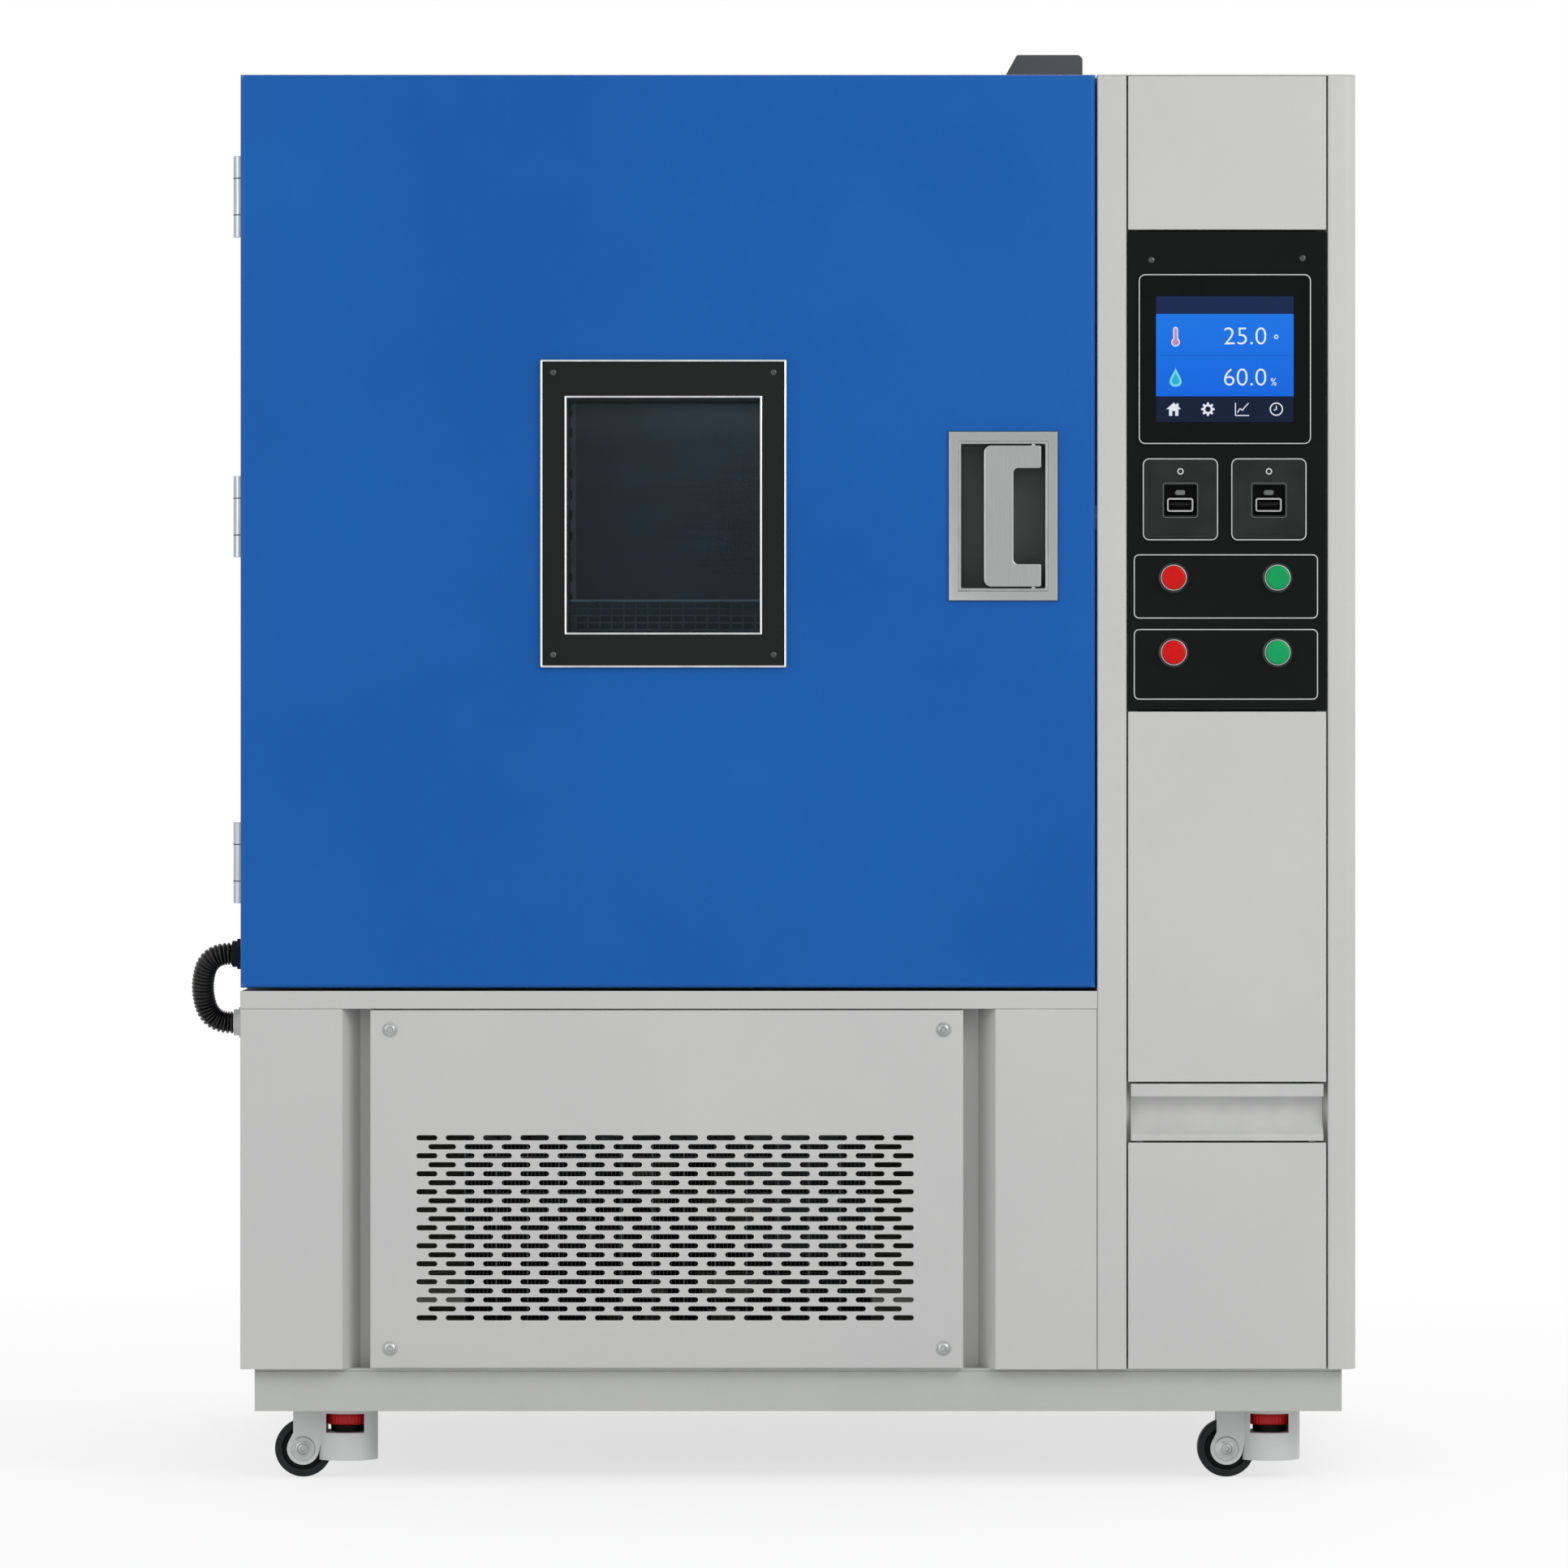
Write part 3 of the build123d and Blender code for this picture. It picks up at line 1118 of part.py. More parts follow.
# Levelling casters: housing with fork, wheel, red thumbwheel and screw foot
drum_bore = FOOT_R + FIT
web_low = DRUM_TOP - 5
top_disc = (NECK_TOP, BASE_UNDER - FIT)
fork_y = (WHEEL_W / 2 + ARM_GAP, WHEEL_W / 2 + ARM_GAP + FORK_T)
for end, y in zip(CASTER_ENDS, caster_ys):
    for side, x in zip(CASTER_SIDES, caster_xs):
        corner = f"{end}_{side}"
        axle_x = x - WHEEL_OFFSET
        with BuildPart() as caster_housing:
            with BuildSketch(Plane.XY.offset(DRUM_LOW)):
                with Locations((x, y)):
                    Circle(DRUM_R)
            extrude(amount=top_disc[1] - DRUM_LOW)
            block((x - 60, x - THUMB_R - FIT), grown((y, y), fork_y[1]), (DRUM_TOP, top_disc[1]))
            with BuildSketch(Plane.XY.offset(DRUM_TOP)):
                with Locations((x, y)):
                    Circle(THUMB_R + 2)
            extrude(amount=NECK_TOP - DRUM_TOP, mode=Mode.SUBTRACT)
            block((x - 23, x + 20), grown((y, y), DRUM_R + 1), (DRUM_TOP, NECK_TOP), Mode.SUBTRACT)
            with Locations((axle_x, y, WHEEL_R)):
                Cylinder(WHEEL_R + 1.5, 2 * fork_y[0], rotation=(90, 0, 0), mode=Mode.SUBTRACT)
            for cheek in (-1, 1):
                with BuildSketch(facing(y + max(cheek * fork_y[0], cheek * fork_y[1]))):
                    with Locations((axle_x, WHEEL_R)):
                        Circle(FORK_R)
                    with Locations((x - 40, top_disc[1] - 10)):
                        Circle(10)
                    with Locations((x - 30, DRUM_TOP)):
                        Circle(4)
                    make_hull()
                extrude(amount=FORK_T)
            with Locations((axle_x, y, WHEEL_R)):
                Cylinder(AXLE_R, 2 * fork_y[1], rotation=(90, 0, 0))
            with BuildSketch(Plane.XY.offset(DRUM_LOW)):
                with Locations((x, y)):
                    Circle(drum_bore)
            extrude(amount=web_low - DRUM_LOW, mode=Mode.SUBTRACT)
            with Locations((x, y, (web_low + DRUM_TOP) / 2)):
                Cylinder(SCREW_STEM_R + RUNNING, 5, mode=Mode.SUBTRACT)
            with Locations((x, y, middle(top_disc))):
                Cylinder(KING_R + RUNNING, top_disc[1] - top_disc[0], mode=Mode.SUBTRACT)
        caster_housing.part.label = f"caster_housing_{corner}"
        export_step(caster_housing.part, f"parts/caster_housing_{corner}.step")

        with BuildPart() as caster_wheel:
            with BuildSketch(facing(y + WHEEL_W / 2)):
                with Locations((axle_x, WHEEL_R)):
                    Circle(WHEEL_R)
                    Circle(AXLE_R + RUNNING, mode=Mode.SUBTRACT)
            extrude(amount=WHEEL_W)
            tread = caster_wheel.edges().filter_by(GeomType.CIRCLE).group_by(
                lambda edge: edge.radius)[-1]
            fillet(tread, 4)
        caster_wheel.part.label = f"caster_wheel_{corner}"
        export_step(caster_wheel.part, f"parts/caster_wheel_{corner}.step")

        with BuildPart() as thumbwheel:
            with Locations((x, y, THUMB_Z + THUMB_H / 2)):
                Cylinder(THUMB_R, THUMB_H)
            nut_z = (DRUM_TOP + FIT, THUMB_Z)
            with Locations((x, y, middle(nut_z))):
                Cylinder(NUT_R, nut_z[1] - nut_z[0])
            bore_z = (nut_z[0], THUMB_Z + THUMB_H)
            with Locations((x, y, middle(bore_z))):
                Cylinder(SCREW_STEM_R + RUNNING, bore_z[1] - bore_z[0], mode=Mode.SUBTRACT)
        thumbwheel.part.label = f"thumbwheel_{corner}"
        export_step(thumbwheel.part, f"parts/thumbwheel_{corner}.step")

        with BuildPart() as foot:
            with Locations((x, y, DRUM_LOW + FOOT_T / 2)):
                Cylinder(FOOT_R, FOOT_T)
            stem_z = (DRUM_LOW + FOOT_T, THUMB_Z + THUMB_H - FIT)
            with Locations((x, y, middle(stem_z))):
                Cylinder(SCREW_STEM_R, stem_z[1] - stem_z[0])
        foot.part.label = f"levelling_foot_{corner}"
        export_step(foot.part, f"parts/levelling_foot_{corner}.step")
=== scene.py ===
# %% [markdown]
# # An environmental test chamber
# The cabinet is a sheet-metal box on levelling casters, with a foamed blue door, a control column
# and a machine compartment behind a slotted grille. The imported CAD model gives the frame: every
# length is in metres, +Z is up and the front faces -Y. This first cell loads it and keeps its box.
# %% Load the frame
import bpy
import bmesh
import numpy as np
from mathutils.geometry import delaunay_2d_cdt
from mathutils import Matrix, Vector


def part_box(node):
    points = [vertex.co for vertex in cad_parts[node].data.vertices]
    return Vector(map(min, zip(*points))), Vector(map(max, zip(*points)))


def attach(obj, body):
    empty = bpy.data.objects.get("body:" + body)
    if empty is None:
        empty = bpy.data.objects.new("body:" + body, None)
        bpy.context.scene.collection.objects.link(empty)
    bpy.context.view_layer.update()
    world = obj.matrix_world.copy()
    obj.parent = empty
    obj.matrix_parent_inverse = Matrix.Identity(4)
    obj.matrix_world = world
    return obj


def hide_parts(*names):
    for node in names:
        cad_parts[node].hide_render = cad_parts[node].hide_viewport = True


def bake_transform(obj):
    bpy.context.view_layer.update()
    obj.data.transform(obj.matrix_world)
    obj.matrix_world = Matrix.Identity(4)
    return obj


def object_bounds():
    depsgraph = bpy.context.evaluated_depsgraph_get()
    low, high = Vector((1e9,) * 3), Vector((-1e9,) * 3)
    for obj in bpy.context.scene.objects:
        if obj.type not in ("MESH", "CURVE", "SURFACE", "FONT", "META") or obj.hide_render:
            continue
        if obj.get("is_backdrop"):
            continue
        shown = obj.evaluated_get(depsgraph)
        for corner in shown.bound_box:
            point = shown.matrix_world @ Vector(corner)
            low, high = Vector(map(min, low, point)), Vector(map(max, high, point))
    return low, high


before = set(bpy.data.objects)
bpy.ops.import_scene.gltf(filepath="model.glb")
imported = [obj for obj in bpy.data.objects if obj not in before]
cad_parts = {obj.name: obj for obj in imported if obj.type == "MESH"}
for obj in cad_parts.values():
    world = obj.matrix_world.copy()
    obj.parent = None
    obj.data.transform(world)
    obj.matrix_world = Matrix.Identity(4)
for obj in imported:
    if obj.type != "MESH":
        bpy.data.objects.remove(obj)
cad_low, cad_high = (np.array(corner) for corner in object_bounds())
MM = 0.001
TAU = 2 * np.pi
print("CAD box", cad_low.round(3), cad_high.round(3))

# %% [markdown]
# ## Camera
# The photograph is almost frontal: neither side of the cabinet shows, and the cap on the top is
# seen from a little below its own height. The hinges show past the door's edge, though they sit
# behind its front, so the camera stands far off: it looks along +Y from 8.2 m, at the height and
# side position of the picture's middle, with a lens that takes in 1.742 m at the front face.
# %% Camera
CABINET_D = 1.05
FRONT = cad_high[1] - CABINET_D
CAMERA_X, CAMERA_Z = -0.0158, 0.7765
SEEN_WIDTH = 1.742
DISTANCE = 8.2
SENSOR = 36.0

camera_data = bpy.data.cameras.new("camera")
camera_data.sensor_width = SENSOR
camera_data.lens = SENSOR * DISTANCE / SEEN_WIDTH
camera = bpy.data.objects.new("camera", camera_data)
camera.location = (CAMERA_X, FRONT - DISTANCE, CAMERA_Z)
camera.rotation_euler = (np.pi / 2, 0, 0)
bpy.context.scene.collection.objects.link(camera)
bpy.context.scene.camera = camera
print("lens", round(camera_data.lens, 1), "mm")

# %% [markdown]
# ## From numbers to meshes
# Most new pieces are surfaces over a grid of points: rows are stations along the piece, columns
# are places round its section. One helper turns such a grid into quads, closes it where it should
# close, and caps its open ends, so that every piece is a closed skin.
# %% Grids, pieces and caps
def link(name, vertices, faces, body, slot, smooth=True):
    """A mesh object from vertices and faces that rides on a body; its slot is not used."""
    mesh = bpy.data.meshes.new(name)
    mesh.from_pydata(np.asarray(vertices, float).reshape(-1, 3).tolist(), [], faces)
    tidy = bmesh.new()
    tidy.from_mesh(mesh)
    bmesh.ops.remove_doubles(tidy, verts=tidy.verts, dist=1e-6)
    bmesh.ops.recalc_face_normals(tidy, faces=tidy.faces)
    tidy.to_mesh(mesh)
    tidy.free()
    mesh.polygons.foreach_set("use_smooth", np.full(len(mesh.polygons), smooth))
    mesh.set_sharp_from_angle(angle=np.radians(32))
    piece = bpy.data.objects.new(name, mesh)
    bpy.context.scene.collection.objects.link(piece)
    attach(piece, body)
    return piece


def quads(rows, columns, close_rows=False, close_columns=True):
    """Faces of a grid numbered row by row: each cell's four corners, wrapping where it closes."""
    row = np.arange(rows if close_rows else rows - 1)[:, None]
    column = np.arange(columns if close_columns else columns - 1)[None, :]
    next_row, next_column = (row + 1) % rows, (column + 1) % columns
    corners = (row * columns + column, row * columns + next_column,
               next_row * columns + next_column, next_row * columns + column)
    return np.stack(np.broadcast_arrays(*corners), -1).reshape(-1, 4).tolist()


def skin(points, close_rows=False, caps=True):
    """Vertices and faces of a closed skin over a grid of rings, with a flat cap at each end."""
    rows, columns = points.shape[:2]
    faces = quads(rows, columns, close_rows)
    if caps and not close_rows:
        faces.append(list(range(columns)))
        faces.append(list(range((rows - 1) * columns, rows * columns)))
    return points.reshape(-1, 3), faces


def joined(parts):
    """Several (vertices, faces) pairs as one, with the faces renumbered."""
    starts = np.cumsum([0] + [len(vertices) for vertices, _ in parts])
    faces = [[index + int(start) for index in face]
             for start, (_, some) in zip(starts, parts) for face in some]
    return np.concatenate([vertices for vertices, _ in parts]), faces


def repeated(part, offsets):
    """The same part moved by each offset and joined."""
    vertices, faces = part
    return joined([(vertices + offset, faces) for offset in np.asarray(offsets, float)])


def along_axis(axis, distances):
    """Offsets along one axis, 0 for X to 2 for Z."""
    return np.eye(3)[axis] * np.asarray(distances)[:, None]


def ends(box):
    """A box's low and its high corner, as arrays."""
    return np.array(box[0]), np.array(box[1])


def spans(low, high):
    """A box's reach along X and along Z."""
    return (low[0], high[0]), (low[2], high[2])


def about(middle, half):
    """A span that reaches that far to both sides of its middle."""
    return middle - half, middle + half


def grown(span, by):
    """A span that reaches further at both ends, or less far where by is negative."""
    return span[0] - by, span[1] + by


def mm(*values):
    """Numbers or rows of numbers in millimetres, as an array in metres."""
    return np.array(values, float) * MM


def band(inner, outer, low, high):
    """The four corners of a rectangular section."""
    return [(inner, low), (outer, low), (outer, high), (inner, high)]


def raised(rows, height, front):
    """Section rows of (place, share of the height) as (place, depth) in front of a plane."""
    return [(place, front - share * height) for place, share in rows]


def spin(profile, centre, axis="z", steps=48, shape=None, closed=False):
    """A profile of (radius, height) pairs turned round an axis through centre.

    A point's ring has radius * shape(angle, row), and height runs along the axis. shape is 1
    everywhere for a round piece. Ends of radius nought close on themselves, and a closed
    profile makes a ring.
    """
    profile = np.asarray(profile, float)
    angle = np.linspace(0, TAU, steps, endpoint=False)[None, :]
    radius = profile[:, :1] * (1 if shape is None else shape(angle, profile[:, :1]))
    height = np.broadcast_to(profile[:, 1:], (len(profile), steps))
    radius = np.broadcast_to(radius, height.shape)
    across, along = radius * np.cos(angle), radius * np.sin(angle)
    order = {"x": (height, across, along), "y": (across, height, along),
             "z": (across, along, height)}[axis]
    return skin(np.stack(order, -1) + np.asarray(centre, float), close_rows=closed)


print("mesh helpers ready")

# %% [markdown]
# ## Rectangles with profiles carried round them
# Trims, beads, bezels and covers are all one idea: a section carried round a rectangle. The
# corners are mitred where the radius is nought, as on a folded frame, and round where it isn't.
# Stations on an inner and an outer rectangle are paired, and a section point lies part of the way
# from one to the other, at its own depth.
# %% Rectangle outlines
def outline(x, z, radius=0.0, steps=6):
    """Stations round a rectangle, as many as steps at each corner, anticlockwise.

    Each corner is an arc: its centre plus radius times (cos, sin) over a quarter turn.
    """
    quarter = np.linspace(0, np.pi / 2, steps)[None, :]
    angle = quarter + np.arange(4)[:, None] * np.pi / 2
    sign_x = np.array([1, -1, -1, 1])[:, None]
    sign_z = np.array([1, 1, -1, -1])[:, None]
    middle_x, middle_z = (x[0] + x[1]) / 2, (z[0] + z[1]) / 2
    half_x, half_z = (x[1] - x[0]) / 2 - radius, (z[1] - z[0]) / 2 - radius
    return np.stack([middle_x + sign_x * half_x + radius * np.cos(angle),
                     middle_z + sign_z * half_z + radius * np.sin(angle)], -1).reshape(-1, 2)


def frame_ring(inner, outer, section):
    """A closed ring between two outlines; section is (share towards the outer, depth) pairs."""
    section = np.asarray(section, float)
    share = section[:, None, :1]
    flat = inner[None] * (1 - share) + outer[None] * share
    depth = np.broadcast_to(section[:, None, 1], flat.shape[:2])
    points = np.stack([flat[..., 0], depth, flat[..., 1]], -1)
    return skin(points, close_rows=True)


def plate(stations, section):
    """A solid from an outline: each section pair is (inset, depth), back first, capped flat.

    The outline moves inwards along its corner bisectors by the inset.
    """
    before, after = np.roll(stations, 1, 0), np.roll(stations, -1, 0)
    first, second = stations - before, after - stations
    lengths = [np.linalg.norm(side, axis=1, keepdims=True) for side in (first, second)]
    first = np.divide(first, lengths[0], out=np.zeros_like(first), where=lengths[0] > 1e-9)
    second = np.divide(second, lengths[1], out=np.zeros_like(second), where=lengths[1] > 1e-9)
    normal_a = np.stack([first[:, 1], -first[:, 0]], -1)
    normal_b = np.stack([second[:, 1], -second[:, 0]], -1)
    outward = normal_a + normal_b
    scale = 1 + (normal_a * normal_b).sum(1, keepdims=True)
    outward = outward / np.maximum(scale, 0.3)
    section = np.asarray(section, float)
    flat = stations[None] - outward[None] * section[:, None, :1]
    depth = np.broadcast_to(section[:, None, 1], flat.shape[:2])
    return skin(np.stack([flat[..., 0], depth, flat[..., 1]], -1))


def soft_edge(inset, back, front, steps=4):
    """A plate's section: straight from the back, then a quarter round of that inset in front."""
    turn = np.linspace(0, np.pi / 2, steps)
    bend = np.stack([inset * (1 - np.cos(turn)), front + inset * (1 - np.sin(turn))], -1)
    return np.concatenate([[[0.0, back]], bend])


def rounded_path(points, radii, steps=6):
    """A polygon with each corner replaced by an arc of its own radius.

    The arc touches both sides: it starts a tangent length before the corner, and its points
    come from the circle through both tangent points.
    """
    points = np.asarray(points, float)
    before, after = np.roll(points, 1, 0) - points, np.roll(points, -1, 0) - points
    before /= np.linalg.norm(before, axis=1, keepdims=True)
    after /= np.linalg.norm(after, axis=1, keepdims=True)
    half = np.arccos(np.clip((before * after).sum(1), -1, 1)) / 2
    radii = np.asarray(radii, float)
    bisector = before + after
    bisector /= np.linalg.norm(bisector, axis=1, keepdims=True)
    centre = points + bisector * (radii / np.sin(half))[:, None]
    start = points + before * (radii / np.tan(half))[:, None] - centre
    end = points + after * (radii / np.tan(half))[:, None] - centre
    angle_a = np.arctan2(start[:, 1], start[:, 0])
    swing = (np.arctan2(end[:, 1], end[:, 0]) - angle_a + np.pi) % TAU - np.pi
    angle = angle_a[:, None] + swing[:, None] * np.linspace(0, 1, steps)[None, :]
    circle = np.stack([np.cos(angle), np.sin(angle)], -1) * radii[:, None, None]
    return (centre[:, None, :] + circle).reshape(-1, 2)


print("outline helpers ready")

# %% [markdown]
# ## Slotted grille
# The machine grille is a folded sheet with 21 staggered rows of punched slots. Punched slots have
# round ends, and the rows end in shortened slots so that the field stays a rectangle. All the
# outlines go into one Delaunay triangulation of the front face; triangles whose middle lies in a
# slot are thrown away, and a wall is raised between the front and back edge of every slot.
# %% Slot places
SLOT_L, SLOT_H = 32.2 * MM, 5.9 * MM
SLOT_PITCH, ROW_PITCH, ROWS = 41.4 * MM, 10.0 * MM, 21
FIELD_SIDE, FIELD_UP = 51.4 * MM, 53.2 * MM
FIELD_W, ROW_SHIFT = 552.8 * MM, 13.3 * MM
SHEET = 1.5 * MM
SCREW_INSET = 22 * MM
grille_low, grille_high = ends(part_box("grille_panel"))


def slot_row(reach, first):
    """Centres and lengths of one side's slots: whole ones a pitch apart, then the short one."""
    count = int(np.floor((reach - SLOT_L / 2 - first) / SLOT_PITCH)) + 1
    centres = first + SLOT_PITCH * np.arange(count)
    low = first + count * SLOT_PITCH - SLOT_L / 2
    return np.append(centres, (low + reach) / 2), np.append(np.full(count, SLOT_L), reach - low)


slots = []
field_middle = grille_low[0] + FIELD_SIDE + FIELD_W / 2
for row in range(ROWS):
    shift, first = ((0.0, SLOT_PITCH / 2), (ROW_SHIFT, 0.0))[row % 2]
    centres, lengths = slot_row(FIELD_W / 2 - shift, first)
    height = grille_low[2] + FIELD_UP + SLOT_H / 2 + row * ROW_PITCH
    xs = field_middle + np.concatenate([-centres[::-1], centres])
    rows = np.stack([xs, np.full(len(xs), height), np.concatenate([lengths[::-1], lengths])], -1)
    slots.append(rows[np.concatenate([np.full(len(centres), True), centres > 0])])
slots = np.concatenate(slots)
print(len(slots), "slots")

# %% Grille mesh
def stadium(centre_x, centre_z, length, steps=7):
    """Outline of a slot: two half circles of half its height, joined by straight sides."""
    turn = np.linspace(-np.pi / 2, np.pi / 2, steps)
    reach = (length - SLOT_H) / 2
    right = np.stack([reach + SLOT_H / 2 * np.cos(turn), SLOT_H / 2 * np.sin(turn)], -1)
    return np.concatenate([right, -right]) + (centre_x, centre_z)


def punched_sheet(border, holes, inside, front, back):
    """Front and back face between a border and its holes, and the walls of the holes."""
    loops = [border] + holes
    starts = np.cumsum([0] + [len(loop) for loop in loops])
    flat = np.concatenate(loops)
    edges = [[int(start) + i, int(start) + (i + 1) % len(loop)]
             for start, loop in zip(starts, loops) for i in range(len(loop))]
    found = delaunay_2d_cdt(flat.tolist(), edges, [], 0, 1e-7)
    flat_found = np.array([tuple(point) for point in found[0]])
    triangles = np.array(found[2])
    middles = flat_found[triangles].mean(1)
    triangles = triangles[~inside(middles)]
    count = len(flat_found)
    layers = [np.stack([flat_found[:, 0], np.full(count, depth), flat_found[:, 1]], -1)
              for depth in (front, back)]
    faces = triangles.tolist() + (triangles + count)[:, ::-1].tolist()
    parts = [(np.concatenate(layers), faces)]
    for loop in holes:
        wall = np.stack([np.stack([loop[:, 0], np.full(len(loop), depth), loop[:, 1]], -1)
                         for depth in (front, back)])
        parts.append(skin(wall, caps=False))
    return joined(parts)


def in_a_slot(points):
    """True where a point is nearer to some slot's middle line than half a slot's height."""
    reach = (slots[:, 2] - SLOT_H) / 2
    across = np.maximum(np.abs(points[:, None, 0] - slots[None, :, 0]) - reach[None], 0)
    up = points[:, None, 1] - slots[None, :, 1]
    return (np.hypot(across, up) < SLOT_H / 2 - 1e-6).any(1)


BEND = 2 * MM
grille_x, grille_z = spans(grille_low, grille_high)
face_border = outline(grown(grille_x, -BEND), grown(grille_z, -BEND), 0, 1)
inner_bend = [(SHEET, grille_high[1]), (SHEET, grille_low[1] + BEND), (BEND, grille_low[1] + SHEET)]
border = outline(grille_x, grille_z, 0, 1)
holes = [stadium(*row) for row in slots]
sheet = punched_sheet(face_border, holes, in_a_slot, grille_low[1], grille_low[1] + SHEET)
sides = [plate(border, section) for section in
         (soft_edge(BEND, grille_high[1], grille_low[1], 5), inner_bend,
          [(0.0, grille_high[1]), inner_bend[0]])]
sides = [(vertices, faces[:-2]) for vertices, faces in sides]
grille = link("grille_sheet", *joined([sheet] + sides), "cabinet", "body_grey", smooth=False)
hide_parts("grille_panel")
print("grille faces", len(grille.data.polygons))

# %% [markdown]
# ## Screws
# The grille is held by four button-head screws with hex sockets, the window and the control panel
# by smaller ones. A screw is a profile turned round its axis, whose innermost rings are hexagons:
# the ring's radius is the hexagon's flat distance over the cosine of the angle to the nearest flat.
# %% Screws
def hex_rings(limit):
    """A shape for spin: rings no wider than limit are hexagons, the others stay round."""
    def shape(angle, radius):
        """The hexagon's radius over its flat distance, or 1."""
        to_flat = (angle + np.pi / 6) % (np.pi / 3) - np.pi / 6
        return np.where(radius <= limit, 1 / np.cos(to_flat), 1.0)
    return shape


def screw_heads(name, places, radius, proud, body, slot):
    """Button-head screws facing -Y at each place, as one piece."""
    socket = radius * 0.42
    section = [(0, proud * 0.1), (socket * 0.98, proud * 0.1), (socket, proud * 0.75),
               (socket * 1.25, proud * 0.98), (radius * 0.72, proud * 0.86),
               (radius * 0.92, proud * 0.55), (radius, proud * 0.2), (radius, -0.3 * MM),
               (0, -0.3 * MM)]
    head = spin([(r, -h) for r, h in section], (0, 0, 0), "y", 36, hex_rings(socket * 1.01))
    return link(name, *repeated(head, places), body, slot)


def corners(x, y, z):
    """The four places at the corners of a rectangle, at one depth."""
    return [(i, y, k) for i in x for k in z]


grille_screws = corners(grown(grille_x, -SCREW_INSET), grille_low[1],
                        grown(grille_z, -SCREW_INSET))
screw_heads("grille_screws", grille_screws, 6.8 * MM, 2.6 * MM, "cabinet", "bright_steel")
washer = spin(mm((3, -0.7), (8, -0.7), (8.4, -0.2), (8.4, 0.2), (3, 0.2)), (0, 0, 0), "y", 40,
              closed=True)
link("grille_washers", *repeated(washer, grille_screws), "cabinet", "bright_steel")
print(len(grille_screws), "grille screws")

# %% [markdown]
# ## Window
# Three bands frame the glass: a thin bright trim on the door, a wide black border and a bright
# bead at the glass. Each is a ring with mitred corners and its own section, so light breaks at
# the mitres as on real trim.
# %% Window frame
window_low, window_high = ends(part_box("window_frame"))
glass_low, glass_high = ends(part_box("window_glass"))
FIT, TRIM_W, WINDOW_SCREW_IN = 0.3 * MM, 3.2 * MM, 14.6 * MM
BORDER_PROUD, BEAD_PROUD = 4.2 * MM, 6.0 * MM
door_front = window_high[1]
window_x, window_z = spans(window_low, window_high)
pane_x, pane_z = (grown(span, FIT) for span in spans(glass_low, glass_high))
rim = outline(window_x, window_z, 1.2 * MM)
rim_inner = outline(grown(window_x, -TRIM_W), grown(window_z, -TRIM_W), 0.8 * MM)
bead_outer = outline(grown(pane_x, TRIM_W), grown(pane_z, TRIM_W), 0.8 * MM)
bead_inner = outline(pane_x, pane_z, 0.4 * MM)
trim_section = raised([(0, 0), (1, 0), (1, 0.6), (0.8, 0.92), (0.5, 1), (0.2, 0.92), (0, 0.6)],
                      BEAD_PROUD, door_front)
border_section = raised(band(0, 1, 0, 1), BORDER_PROUD, door_front)
link("window_trim", *frame_ring(rim_inner, rim, trim_section), "door", "bright_steel")
link("window_bead", *frame_ring(bead_inner, bead_outer, trim_section), "door", "bright_steel")
window_border = link("window_border", *frame_ring(bead_outer, rim_inner, border_section), "door",
                     "black_frame")
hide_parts("window_frame")
window_screws = corners(grown(window_x, -WINDOW_SCREW_IN), door_front - BORDER_PROUD,
                        grown(window_z, -WINDOW_SCREW_IN))
screw_heads("window_screws", window_screws, 3.4 * MM, 1.0 * MM, "door", "black_frame")
print("window", (window_high - window_low).round(4))

# %% [markdown]
# ## Handle
# The handle is a recessed pan with a mitred rim, and in it a C-shaped grip whose open side faces
# the column. The rim's section has a raised outer edge, a face that slopes inwards and an inner
# bead. The grip is a flat C with rounded bar corners and a bevel all round its front.
# %% Handle pan
pan_low, pan_high = ends(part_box("handle_pan"))
RIM_W, RIM_PROUD, PAN_WALL, WELL_R = 14.4 * MM, 3.5 * MM, 2 * MM, 5 * MM
pan_x, pan_z = spans(pan_low, pan_high)
well_x, well_z = grown(pan_x, -RIM_W), grown(pan_z, -RIM_W)
rim_back = door_front + 6 * MM
rim_section = [(0, rim_back), (0.12, rim_back)] + raised(
    [(0.12, 0), (1, 0), (1, 0.4), (0.94, 0.85), (0.88, 1), (0.82, 0.93), (0.24, 0.45),
     (0.17, 0.8), (0.08, 0.85), (0, 0.6)], RIM_PROUD, door_front)
rim_shape = frame_ring(outline(well_x, well_z, 0, 1), outline(pan_x, pan_z, 0, 1), rim_section)
handle_rim = link("handle_rim", *rim_shape, "door", "bright_steel", smooth=False)
well_top, well_back = rim_back - 0.1 * MM, pan_high[1] - PAN_WALL
well_section = [(0, well_top), (0, well_back - 4 * MM), (1.2 * MM, well_back - 1.2 * MM),
                (4 * MM, well_back), (4 * MM, pan_high[1]), (-1.6 * MM, pan_high[1]),
                (-1.6 * MM, well_top), (0, well_top)]
well_walls, well_faces = plate(outline(well_x, well_z, WELL_R, 5), well_section)
well_floor = plate(outline(grown(well_x, -3 * MM), grown(well_z, -3 * MM), 0, 1),
                   [(0, pan_high[1] - 0.2 * MM), (0, well_back + 0.05 * MM)])
# The well takes a darker grey than the rim, painted shade for the recess.
link("handle_well", *joined([(well_walls, well_faces[:-2]), well_floor]), "door", "bright_steel")
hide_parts("handle_pan")
print("handle rim", (pan_high - pan_low).round(4))

